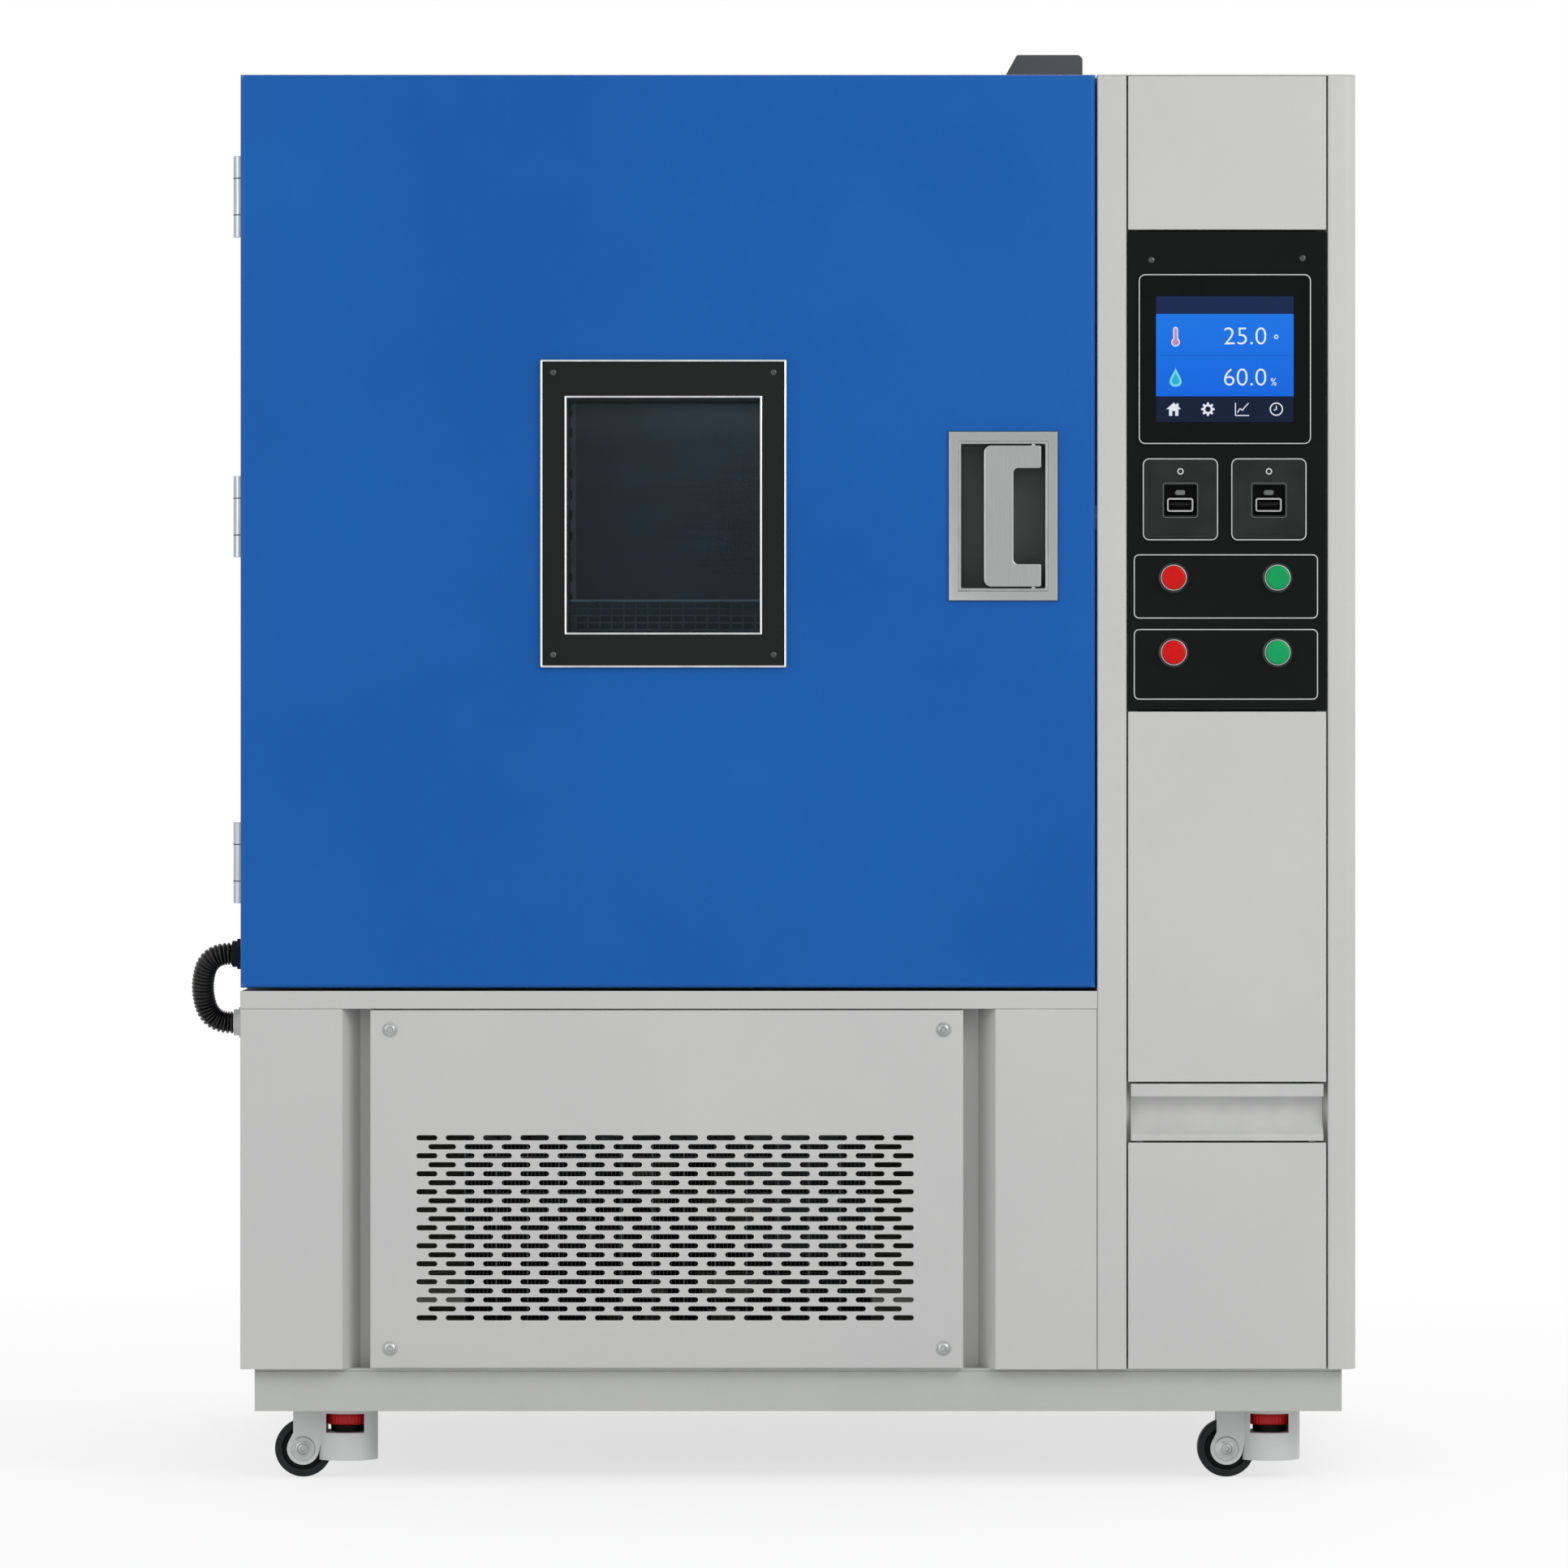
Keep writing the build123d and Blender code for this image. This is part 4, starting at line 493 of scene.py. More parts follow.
# %% Handle grip
grip_low, grip_high = ends(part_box("handle_grip"))
BAR_W, ARM_H, GRIP_D = 33.3 * MM, 25.6 * MM, 15 * MM
BOSS_R, PIVOT_R, STUD_L = 8.5 * MM, 3 * MM, 14 * MM
gx, gz = spans(grip_low, grip_high)
grip_points = [(gx[0], gz[0]), (gx[1], gz[0]), (gx[1], gz[0] + ARM_H),
               (gx[0] + BAR_W, gz[0] + ARM_H), (gx[0] + BAR_W, gz[1] - ARM_H),
               (gx[1], gz[1] - ARM_H), (gx[1], gz[1]), (gx[0], gz[1])]
grip_outline = rounded_path(grip_points, mm(8, 2.5, 2.5, 5, 5, 2.5, 2.5, 8))
grip_section = mm((1, 0), (0, -1), (0, 1.8), (0.4, 0.7), (1.5, 0))
grip_section[:, 1] += grip_low[1] + np.array([GRIP_D, GRIP_D, 0, 0, 0])
pivot = (gx[1] - BOSS_R, grip_low[1] + BOSS_R)
boss = spin(mm((0, 0), (7.3, 0), (7.9, 0.6), (7.9, 24), (7.3, 24.6), (0, 24.6)),
            (pivot[0] - 0.6 * MM, pivot[1], 0))
bosses = repeated(boss, [(0, 0, gz[0] + 0.5 * MM), (0, 0, gz[1] - ARM_H + 0.5 * MM)])
handle_grip = link("grip_bar", *joined([plate(grip_outline, grip_section), bosses]), "grip",
                   "bright_steel")
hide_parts("handle_grip")
stud = spin([(0, 0), (PIVOT_R, 0), (PIVOT_R, STUD_L), (0, STUD_L)], (*pivot, 0))
stud_zs = (well_z[0] - 1 * MM, well_z[1] + 1 * MM - STUD_L)
link("grip_studs", *repeated(stud, [(0, 0, z) for z in stud_zs]), "door", "bright_steel")
print("grip", (grip_high - grip_low).round(4))

# %% [markdown]
# ## Screen
# The screen is a black bezel with a glass display. A thin pale line is printed round the bezel.
# The display has a dark header, a bright field with two rows and a dark bar with four symbols.
# Fields are thin plates, numbers are text turned into mesh, and the symbols are small outlines.
# %% Thin plates, lines and numbers
screen_low, screen_high = ends(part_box("touchscreen"))
panel_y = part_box("control_panel")[0][1]
SCREEN_R = 7 * MM
LINE_W, LINE_T = 1.1 * MM, 0.25 * MM


def patch(x, z, front, thickness=0.2 * MM, radius=0.0, steps=6):
    """A thin plate between two heights whose front lies at that depth."""
    return plate(outline(x, z, radius, steps if radius else 1),
                 [(0, front + thickness), (0, front)])


def line_ring(x, z, front, radius, width=LINE_W, thickness=LINE_T):
    """A thin raised line round a rounded rectangle."""
    inner = outline(grown(x, -width), grown(z, -width), radius - width)
    return frame_ring(inner, outline(x, z, radius), raised(band(0, 1, 0, 1), thickness, front))


def number(text, left, low, height, front, width=1.0, thinner=0.0):
    """A number as a thin mesh standing at left and low, scaled to that height.

    Its strokes lose thinner on each side before that, and width stretches it sideways.
    """
    curve = bpy.data.curves.new("number", "FONT")
    curve.body = text
    curve.extrude = 0.01
    curve.offset = -thinner
    maker = bpy.data.objects.new("number", curve)
    bpy.context.scene.collection.objects.link(maker)
    bpy.context.view_layer.update()
    flat = bpy.data.meshes.new_from_object(maker)
    points = np.empty(len(flat.vertices) * 3)
    flat.vertices.foreach_get("co", points)
    points = points.reshape(-1, 3)
    faces = [list(face.vertices) for face in flat.polygons]
    bpy.data.objects.remove(maker)
    scale = height / (points[:, 1].max() - points[:, 1].min())
    points -= (points[:, 0].min(), points[:, 1].min(), 0)
    x, z = left + points[:, 0] * scale * width, low + points[:, 1] * scale
    return np.stack([x, front - (points[:, 2] + 0.01) * 5 * MM, z], -1), faces


screen_x, screen_z = spans(screen_low, screen_high)
link("screen_line", *line_ring(screen_x, screen_z, screen_low[1], SCREEN_R), "cabinet",
     "bright_steel")
GLASS_W, GLASS_H, GLASS_SINK = 153.4 * MM, 140.6 * MM, 0.8 * MM
HEADER_H, BAR_H = 19.8 * MM, 28.8 * MM
display_x = about(sum(screen_x) / 2, GLASS_W / 2 - FIT)
display_z = about(sum(screen_z) / 2, GLASS_H / 2 - FIT)
display_y = screen_low[1] + GLASS_SINK - 0.2 * MM
mark_y = display_y - 0.1 * MM
field_z = (display_z[0] + BAR_H, display_z[1] - HEADER_H)
row_split = sum(field_z) / 2 - 0.5 * MM
link("display_header", *patch(display_x, (field_z[1], display_z[1]), display_y), "cabinet",
     "screen")
link("display_field", *patch(display_x, field_z, display_y), "cabinet", "screen")
link("display_bar", *patch(display_x, (display_z[0], field_z[0]), display_y), "cabinet", "screen")
link("display_divider", *patch(grown(display_x, -5 * MM), about(row_split, 0.4 * MM), mark_y),
     "cabinet", "screen")
NUMBER_H, NUMBER_W = 18.8 * MM, 46.8 * MM
number_left = display_x[0] + 75.6 * MM
row_mid = ((row_split + field_z[1]) / 2 - 1.3 * MM, (row_split + field_z[0]) / 2 - 1.3 * MM)
numbers = []
for text, mid in zip(("25.0", "60.0"), row_mid):
    digits, faces = number(text, number_left, mid - NUMBER_H / 2, NUMBER_H, mark_y, thinner=0.012)
    stretch = NUMBER_W / (digits[:, 0].max() - number_left)
    digits[:, 0] = number_left + (digits[:, 0] - number_left) * stretch
    numbers.append((digits, faces))
sign_left = number_left + NUMBER_W + 5 * MM
numbers.append(number("%", sign_left, row_mid[1] - NUMBER_H / 2, 8.2 * MM, mark_y, 0.85))
degree = spin(mm(*band(1.3, 2.4, 0, -0.2)),
              (sign_left + 6 * MM, mark_y, row_mid[0] - 1 * MM), "y", 24, closed=True)
link("display_numbers", *joined(numbers + [degree]), "cabinet", "screen", smooth=False)
print("display", np.round(display_x, 4), np.round(display_z, 4))

# %% [markdown]
# The symbols are a house, a gear, a chart and a clock in the bar, and a thermometer and a drop
# beside the numbers. A gear is a ring whose radius steps out at eight teeth. A drop is a circle
# whose width fades to a point at the top. A second, smaller shape in front makes an outline.
# %% Symbols
def flat_shape(points, front, thickness=0.2 * MM):
    """A thin plate from any outline in the front plane."""
    return plate(np.asarray(points, float), [(0, front + thickness), (0, front)])


def bar_between(a, b, width, front):
    """A thin straight bar from a to b in the front plane."""
    a, b = np.asarray(a, float), np.asarray(b, float)
    side = (b - a) / np.linalg.norm(b - a) * width / 2
    side = np.array([side[1], -side[0]])
    return flat_shape([a + side, b + side, b - side, a - side], front)


def turned(radius, centre, front, steps=48):
    """A thin plate whose radius is a function of the angle."""
    angle = np.linspace(0, TAU, steps, endpoint=False)
    r = radius(angle) * np.ones(steps)
    points = np.stack([centre[0] + r * np.cos(angle), centre[1] + r * np.sin(angle)], -1)
    return flat_shape(points, front)


symbol_y = display_y - 0.3 * MM
bar_mid = (display_z[0] + field_z[0]) / 2
SYMBOL = 7.4 * MM
home_x, gear_x, chart_x, clock_x = display_x[0] + mm(19.6, 57.6, 95.6, 133.6)


def drawing(points, middle_x, middle_z, size):
    """Points given as shares of a symbol's half size, set round its middle."""
    return np.asarray(points, float) * size + (middle_x, middle_z)


home_points = [(-0.7, -1), (-0.22, -1), (-0.22, -0.28), (0.22, -0.28), (0.22, -1), (0.7, -1),
               (0.7, 0), (1.1, 0), (0.72, 0.36), (0.72, 0.86), (0.42, 0.86), (0.42, 0.62), (0, 1),
               (-1.1, 0), (-0.7, 0)]
home = flat_shape(drawing(home_points, home_x, bar_mid, SYMBOL), symbol_y)
gear = spin(band(3.1 * MM, SYMBOL, 0, -0.2 * MM),
            (gear_x, symbol_y, bar_mid), "y", 96,
            lambda angle, radius: np.where(radius > 4 * MM,
                                           0.87 + 0.15 * np.tanh(4 * np.cos(8 * angle)), 1.0),
            closed=True)
chart_lines = [(-1, -0.95, -1, 0.95), (-1, -0.95, 1.05, -0.95), (-0.7, -0.5, -0.3, 0.1),
               (-0.3, 0.1, 0.05, -0.2), (0.05, -0.2, 0.35, 0.25), (0.35, 0.25, 0.95, 0.9)]
chart = joined([bar_between(*drawing([line[:2], line[2:]], chart_x, bar_mid, SYMBOL),
                            1.1 * MM, symbol_y - i * 0.01 * MM)
                for i, line in enumerate(chart_lines)])
clock = joined([spin(band(6.1 * MM, SYMBOL, 0, -0.2 * MM),
                     (clock_x, symbol_y, bar_mid), "y", 48, closed=True),
                bar_between((clock_x, bar_mid - 0.6 * MM), (clock_x, bar_mid + 3.8 * MM),
                            1.1 * MM, symbol_y),
                bar_between((clock_x, bar_mid), (clock_x - 2.8 * MM, bar_mid - 1.2 * MM),
                            1.1 * MM, symbol_y - 0.01 * MM)])
link("display_symbols", *joined([home, gear, chart, clock]), "cabinet", "screen", smooth=False)
sign_x = display_x[0] + 21.7 * MM
STEM_W, STEM_L, BULB_R, SIGN_LINE = 5.4 * MM, 17 * MM, 4.8 * MM, 1.1 * MM
bulb_z = row_mid[0] - 7 * MM
stem_x, stem_z = about(sign_x, STEM_W / 2), (bulb_z, bulb_z + STEM_L)
stem = patch(stem_x, stem_z, symbol_y, 0.2 * MM, STEM_W / 2 - 0.05 * MM)
bulb = turned(lambda angle: BULB_R, (sign_x, bulb_z), symbol_y - 0.02 * MM, 32)
link("display_thermometer", *joined([stem, bulb]), "cabinet", "screen", smooth=False)
inside_x = grown(stem_x, -SIGN_LINE)
column = patch(inside_x, (bulb_z, stem_z[1] - SIGN_LINE), symbol_y - 0.1 * MM, 0.1 * MM,
               (inside_x[1] - inside_x[0]) / 2 - 0.05 * MM)
pool = turned(lambda angle: BULB_R - SIGN_LINE, (sign_x, bulb_z), symbol_y - 0.12 * MM, 28)
link("display_mercury", *joined([column, pool]), "cabinet", "screen", smooth=False)
around = np.linspace(0, TAU, 56, endpoint=False)
DROP_W, DROP_H = 7.9 * MM, 10.8 * MM


def drop_shape(share, depth):
    """A drop: x = width sin t sin^2(t / 2) and z = height cos t, pointed where t is nought."""
    x = DROP_W * 1.3 * share * np.sin(around) * np.sin(around / 2) ** 2
    z = DROP_H * share * np.cos(around) - DROP_H * (1 - share) * 0.35
    return flat_shape(np.stack([sign_x - x, row_mid[1] + z], -1), symbol_y - depth)


link("display_drop", *drop_shape(1.0, 0.0), "cabinet", "screen", smooth=False)
link("display_drop_inside", *drop_shape(0.62, 0.1 * MM), "cabinet", "screen", smooth=False)
print("symbols drawn")

# %% [markdown]
# ## Ports, buttons and printed lines
# Both data ports sit in a bevelled plate with a pale line round it. The buttons are metal collars
# with domed caps, two and two in printed boxes. Their words are left out, so the places under the
# buttons stay bare.
# %% Ports
port_low, port_high = ends(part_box("port_modules"))
PORT_W, SOCKET_W, SOCKET_H = 83.5 * MM, 36 * MM, 34 * MM
port_y, port_z = port_low[1], (port_low[2], port_high[2])
socket_mid, socket_back = sum(port_z) / 2 - 1 * MM, port_high[1] - 3 * MM
port_x, socket_x = about(0, PORT_W / 2), about(0, SOCKET_W / 2)
socket_z = about(socket_mid, SOCKET_H / 2)
port_middles = [(port_low[0] + PORT_W / 2, 0, 0), (port_high[0] - PORT_W / 2, 0, 0)]


def at_socket(half, low, high, radius, steps=6):
    """A rounded outline in millimetres that count from the socket's middle."""
    return outline(about(0, half * MM), (socket_mid + low * MM, socket_mid + high * MM),
                   radius * MM, steps)


bevel_section = raised([(0, 0), (1, 0), (0.97, 0.9), (0.08, 0.5), (0.03, 1.2), (0, 1.2)], MM,
                       port_y)
bevel_outline = outline(grown(port_x, -8 * MM), grown(port_z, -7 * MM), 2 * MM)
port_parts = [
    ("port_lines", line_ring(port_x, port_z, port_y, SCREEN_R), "bright_steel"),
    ("port_bevels", frame_ring(outline(socket_x, socket_z, 2 * MM), bevel_outline, bevel_section),
     "dark_plastic"),
    ("port_marks", spin(mm(*band(2.2, 3.6, 0.3, -0.4)),
                        (0, port_y - 0.7 * MM, socket_z[1] + 15 * MM), "y", 28, closed=True),
     "bright_steel"),
    ("port_shells", frame_ring(at_socket(13, -11, 1, 1.5), at_socket(14.5, -12.5, 2.5, 2.5),
                               band(0, 1, socket_back, port_y + 4 * MM)), "bright_steel"),
    ("port_tongues", plate(at_socket(11, -6, -2.5, 0.5, 3),
                           soft_edge(0.4 * MM, socket_back, port_y + 6 * MM)), "dark_plastic"),
    ("port_edges", line_ring(grown(socket_x, 1.6 * MM), grown(socket_z, 2.4 * MM),
                             port_y - 0.5 * MM, 3 * MM, 0.7 * MM, 0.4 * MM), "dark_plastic"),
    ("port_keys", plate(at_socket(5.5, 6, 11.5, 2, 4),
                        soft_edge(0.8 * MM, socket_back, port_y + 3 * MM)), "bright_steel"),
]
for name, part, slot in port_parts:
    link(name, *repeated(part, port_middles), "cabinet", slot)
print("ports at", [round(float(x), 4) for x, _, _ in port_middles])

# %% Buttons and their boxes
CAP_R, DOME_H, BORE_R, BORE_UP = 13.2 * MM, 1.1 * MM, 6 * MM, 6 * MM
BUTTON_BODIES = ("power", "run", "alarm", "light")
collar_places = []
lean = np.linspace(0, 1.4, 8)
dome = np.stack([CAP_R * 0.9 * np.sin(lean), DOME_H * (1 - np.cos(lean))], -1)
for body in BUTTON_BODIES:
    low, high = ends(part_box(f"{body}_button"))
    back = high[1] - low[1] - 1 * MM
    section = [*dome, (CAP_R * 0.97, 1.5 * MM), (CAP_R, 2.6 * MM), (CAP_R, BORE_UP),
               (BORE_R, BORE_UP), (BORE_R, back), (0, back)]
    x, _, z = (low + high) / 2
    cap = link(f"{body}_cap", *spin(section, (x, low[1], z), "y", 64), body,
               "red_cap" if body in ("power", "alarm") else "green_cap")
    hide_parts(f"{body}_button")
    collar_places.append((x, 0, z))
panel_front = (0, panel_y, 0)
collar = spin(mm((13.25, 0), (16.5, 0), (16.5, -1.2), (15.5, -2), (15.5, -4.2), (14.8, -5),
                 (13.9, -5), (13.25, -4.2)), panel_front, "y", 64, closed=True)
barrel = spin(mm(*band(6.2, 11, 0, 25)), panel_front, "y", 40, closed=True)
lip = spin(mm((13.3, -4.1), (14.2, -4.7), (14.2, -5.15), (13.6, -5.25), (13.3, -5)),
           panel_front, "y", 64, closed=True)
link("button_lips", *repeated(lip, collar_places), "cabinet", "bright_steel")
collars = link("button_rings", *joined([repeated(collar, collar_places),
                                        repeated(barrel, collar_places)]),
               "cabinet", "bright_steel")
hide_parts("button_collars")
boxes = [line_ring(mm(372.9, 577.6), mm(*z), panel_y, 6 * MM)
         for z in ((960.4, 1031.7), (870.3, 948.7))]
link("button_box_lines", *joined(boxes), "cabinet", "bright_steel")
panel_low, panel_high = ends(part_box("control_panel"))
screw_heads("panel_screws", [(panel_low[0] + 26 * MM, panel_y, panel_high[2] - 32 * MM),
                             (panel_high[0] - 26 * MM, panel_y, panel_high[2] - 30 * MM)],
            3.6 * MM, 1.2 * MM, "cabinet", "black_panel")
print("buttons", np.round(collar_places, 3).tolist())

# %% [markdown]
# ## Corrugated hose
# A hose carries the door's wires past the hinge. It is a tube whose radius swings along its length:
# the radius is R less a share of (1 - cos) of the distance in ring pitches, made steeper by a power
# so that the rings are broad and the valleys narrow. Its line is a NURBS curve from the door's
# gland to the cabinet's.
# %% Hose
HOSE_R, RING_PITCH, VALLEY = 12.5 * MM, 4.0 * MM, 2.6 * MM
hose_route = mm((-632, -477, 586.6), (-657, -477, 588.0), (-669, -465, 548.0),
                (-657, -453, 508.1), (-632, -453, 509.5))


def smooth_line(points, samples=260):
    """Points along a NURBS curve of order 3 with those control points, evenly spaced."""
    curve = bpy.data.curves.new("route", "CURVE")
    curve.dimensions = "3D"
    curve.resolution_u = 48
    spline = curve.splines.new("NURBS")
    spline.points.add(len(points) - 1)
    spline.points.foreach_set("co", np.c_[points, np.ones(len(points))].ravel())
    spline.order_u = 3
    spline.use_endpoint_u = True
    maker = bpy.data.objects.new("route", curve)
    flat = bpy.data.meshes.new_from_object(maker)
    found = np.empty(len(flat.vertices) * 3)
    flat.vertices.foreach_get("co", found)
    bpy.data.objects.remove(maker)
    found = found.reshape(-1, 3)
    along = np.concatenate([[0], np.cumsum(np.linalg.norm(np.diff(found, axis=0), axis=1))])
    even = np.linspace(0, along[-1], samples)
    return np.stack([np.interp(even, along, found[:, axis]) for axis in range(3)], -1), even


def tube(line, radius, steps=28, reference=(0, 1, 0)):
    """A skin of rings across a line: each ring's axes are square to the line and the reference."""
    way = np.gradient(line, axis=0)
    way /= np.linalg.norm(way, axis=1, keepdims=True)
    side = np.cross(way, reference)
    side /= np.linalg.norm(side, axis=1, keepdims=True)
    up = np.cross(side, way)
    angle = np.linspace(0, TAU, steps, endpoint=False)[None, :, None]
    ring = side[:, None] * np.cos(angle) + up[:, None] * np.sin(angle)
    return skin(line[:, None] + ring * np.reshape(radius, (-1, 1, 1)))


hose_line, hose_along = smooth_line(hose_route)
ripple = (0.5 - 0.5 * np.cos(TAU * hose_along / RING_PITCH)) ** 2
hose = link("hose_rings", *tube(hose_line, HOSE_R - VALLEY * ripple), "cabinet", "hose_black")
hose.parent = None
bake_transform(hose)
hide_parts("hose")
print("hose", round(float(hose_along[-1]) * 1000), "mm")

# %% [markdown]
# ## Casters
# Each levelling caster has a nylon wheel, a red thumbwheel with ribs for the fingers, a black nut
# and an axle bolt with a hex socket. All are turned profiles. The ribs come from the shape
# function: a sine over the angle, squared off by a tanh.
# %% Wheels and thumbwheels
PLACES = ("front_left", "front_right", "rear_left", "rear_right")
CHEEK_OUT = 5.5 * MM  # wheel's side to the outer face of the fork's cheek


def ribs(count, depth, beyond):
    """A shape for spin: rings wider than beyond get count ribs of that relative depth."""
    def shape(angle, radius):
        """1 at a rib's crown and 1 - depth between ribs."""
        wave = 0.5 + 0.5 * np.tanh(3 * np.cos(count * angle))
        return np.where(radius > beyond, 1 - depth * (1 - wave), 1.0)
    return shape


def six_sided(angle, radius):
    """A shape for spin: rings outside the nut's bore swell a little at six places."""
    return np.where(radius > 8 * MM, 1 + 0.03 * np.cos(6 * angle), 1.0)


TREAD_R, BORE = 2.2, 5.6 * MM
bolt_section = mm((0, -1.5), (13.6, -1.5), (13.6, 0.8), (12.8, 1.4), (8.2, 1.4), (8, 2.2),
                  (7.2, 2.6), (6.2, 2.6), (5.9, 1.2), (5.4, 1.2), (5.2, 2.4), (3.1, 2.9),
                  (2.8, 0.6), (0, 0.6))
lean = np.linspace(np.pi / 2, 0, 5)
for place in PLACES:
    low, high = ends(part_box(f"caster_wheel_{place}"))
    centre = (low + high) / 2
    w, r = (high - low)[1:] / 2 / MM
    side = [(5.4, w), (9, w), (10.5, w - 2.2), (r - 9, w - 2.8), (r - 7.5, w - 0.4)]
    side += [(r - TREAD_R + TREAD_R * np.cos(a), w - TREAD_R + TREAD_R * np.sin(a)) for a in lean]
    section = mm(*side, *[(a, -b) for a, b in side[::-1]])
    wheel = link(f"wheel_{place}_tread", *spin(section, centre, "y", 64, closed=True),
                 f"wheel_{place}", "wheel")
    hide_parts(f"caster_wheel_{place}")
    web = mm((6, w - 2.5), (r - 9.2, w - 2.5), (r - 8.4, w - 1.6), (r - 8.4, 0), (6, 0))
    webs = [spin(web * (1, side), centre, "y", 56, closed=True) for side in (1, -1)]
    link(f"wheel_{place}_web", *joined(webs), f"wheel_{place}", "wheel")
    head = bolt_section + (0, w * MM + CHEEK_OUT)
    bolts = [spin(head * (1, side), centre, "y", 48, hex_rings(3.2 * MM)) for side in (1, -1)]
    link(f"caster_{place}_bolts", *joined(bolts), f"caster_{place}", "bright_steel")
    low, high = ends(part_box(f"thumbwheel_{place}"))
    x, y, _ = (low + high) / 2
    r, base, top = (high[0] - low[0]) / 2, low[2], high[2]
    split = base + (top - base) * 0.38
    red = [(BORE, split), (r - 3 * MM, split), (r - 0.8 * MM, split + 0.8 * MM),
           (r, split + 2 * MM), (r, top - 2 * MM), (r - 0.8 * MM, top - 0.8 * MM),
           (r - 3 * MM, top), (BORE, top)]
    thumb = link(f"thumb_{place}_grip", *spin(red, (x, y, 0), "z", 144, ribs(36, 0.03, r - 1 * MM),
                 closed=True), f"thumb_{place}", "thumb_red")
    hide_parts(f"thumbwheel_{place}")
    nut = [(BORE, base), (r * 0.72, base), (r * 0.76, base + 0.8 * MM), (r * 0.76, split - MM),
           (r * 0.72, split + 0.1 * MM), (BORE, split + 0.1 * MM)]
    link(f"thumb_{place}_nut", *spin(nut, (x, y, 0), "z", 48, six_sided, closed=True),
         f"thumb_{place}", "dark_plastic")
print("casters dressed")

# %% [markdown]
# ## Inside the chamber
# Through the window one sees a perforated upright with bright clips and a shelf of crossed wires.
# The wires are six-sided tubes: one tube is worked out once and moved to every place as one array.
# Each shelf has a grid at its front that hangs a hand's breadth below it and stiffens it.
# %% Shelves
shelf_low, shelf_high = ends(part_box("wire_shelves"))
WIRE_R, CROSS_R, WIRE_PITCH, HANG_H = 1.3 * MM, 2.4 * MM, 13.5 * MM, 32 * MM
(x0, y0, z0), (x1, y1, z1) = shelf_low + CROSS_R, shelf_high - CROSS_R
wire_xs = np.arange(x0 + WIRE_PITCH / 2, x1 - WIRE_PITCH / 2, WIRE_PITCH)


def bar(start, end, radius, steps=6):
    """A straight round wire from start to end."""
    line = np.array([start, end], float)
    reference = (0, 0, 1) if abs(line[1, 2] - line[0, 2]) < 1e-6 else (1, 0, 0)
    return tube(line, np.full(2, radius), steps, reference)


def shelf_wires(z):
    """One shelf: thin wires from front to back over cross wires, in a thicker rim."""
    top = z + CROSS_R - WIRE_R
    lengthwise = repeated(bar((0, y0, top), (0, y1, top), WIRE_R), along_axis(0, wire_xs))
    crosswise = repeated(bar((x0, 0, z), (x1, 0, z), CROSS_R, 8),
                         along_axis(1, np.linspace(y0, y1, 7)))
    rim = [bar((x, y0, z), (x, y1, z), CROSS_R, 8) for x in (x0, x1)]
    return joined([lengthwise, crosswise] + rim)


def shelf_lip(z):
    """The grid that hangs at a shelf's front: short uprights between four cross wires."""
    upright = repeated(bar((0, y0, z), (0, y0, z - HANG_H), WIRE_R), along_axis(0, wire_xs))
    across = bar((x0, y0, 0), (x1, y0, 0), WIRE_R)
    return joined([upright, repeated(across, along_axis(2, z - np.arange(1, 5) * HANG_H / 4))])


# The wires take a light matte finish, partly zinc plating and partly a painted sheen for the light
# the steel catches.
shelves = link("shelf_mesh", *joined([shelf_wires(z) for z in (z0, z1)]
                                     + [shelf_lip(z) for z in (z0, z1)]),
               "cabinet", "stainless")
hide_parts("wire_shelves")
print("shelf wires", len(shelves.data.polygons), "faces")

# %% [markdown]
# The two uprights are punched with slots every 25 mm, and bright clips hang in some of them. The
# slots are dark plates of painted shadow a hair in front of the steel, as deep shadow looks in the
# holes, and the clips are hooks with a round edge, whose white is a painted highlight. Behind the
# grille the condenser shows as a block of thin fins.
# %% Uprights, clips and fins
rail_low, rail_high = ends(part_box("shelf_rails"))
RAIL_W, RAIL_D, SLOT_STEP, CLIP_H = 14 * MM, 12 * MM, 25 * MM, 22 * MM
rail_xs = (rail_low[0] + RAIL_W / 2, rail_high[0] - RAIL_W / 2)
rail_front = rail_high[1] - RAIL_D
slot_zs = np.arange(rail_low[2] + 15 * MM, rail_high[2] - 10 * MM, SLOT_STEP)
one_slot = plate(outline(mm(-2.5, 2.5), mm(-6, 6), 2.4 * MM, 5), mm((0, 0.1), (0, -0.15)))
slot_places = [(x, rail_front, z) for x in rail_xs for z in slot_zs]
# Each slot is a dark plate of painted shadow where the real hole lies in shade.
link("upright_slot_shadows", *repeated(one_slot, slot_places), "cabinet", "seal")
one_clip = plate(outline(mm(-6, 6), about(0, CLIP_H / 2), 1.5 * MM, 4),
                 soft_edge(1.2 * MM, -0.2 * MM, -7 * MM))
clip_places = [(x, rail_front, z) for x in rail_xs for z in mm(977.5, 1056.9, 1167.8)]
# The clips take a white that is a painted highlight, for the light the steel catches.
link("upright_clips", *repeated(one_clip, clip_places), "cabinet", "bright_steel")
fin_low, fin_high = ends(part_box("condenser"))
CORE_D, FIN_PITCH, FIN_T = 66 * MM, 4.5 * MM, 0.5 * MM
fin_xs = np.arange(fin_low[0] + 4 * MM, fin_high[0] - 4 * MM, FIN_PITCH)
one_fin = plate(outline(about(0, FIN_T / 2), fin_low[2] + mm(3, 247), 0, 1),
                [(0, fin_low[1] + CORE_D - 1 * MM), (0, fin_low[1] + 0.6 * MM)])
link("condenser_fins", *repeated(one_fin, along_axis(0, fin_xs)), "cabinet", "fins")
print(len(slot_places), "slots", len(clip_places), "clips", len(fin_xs), "fins")

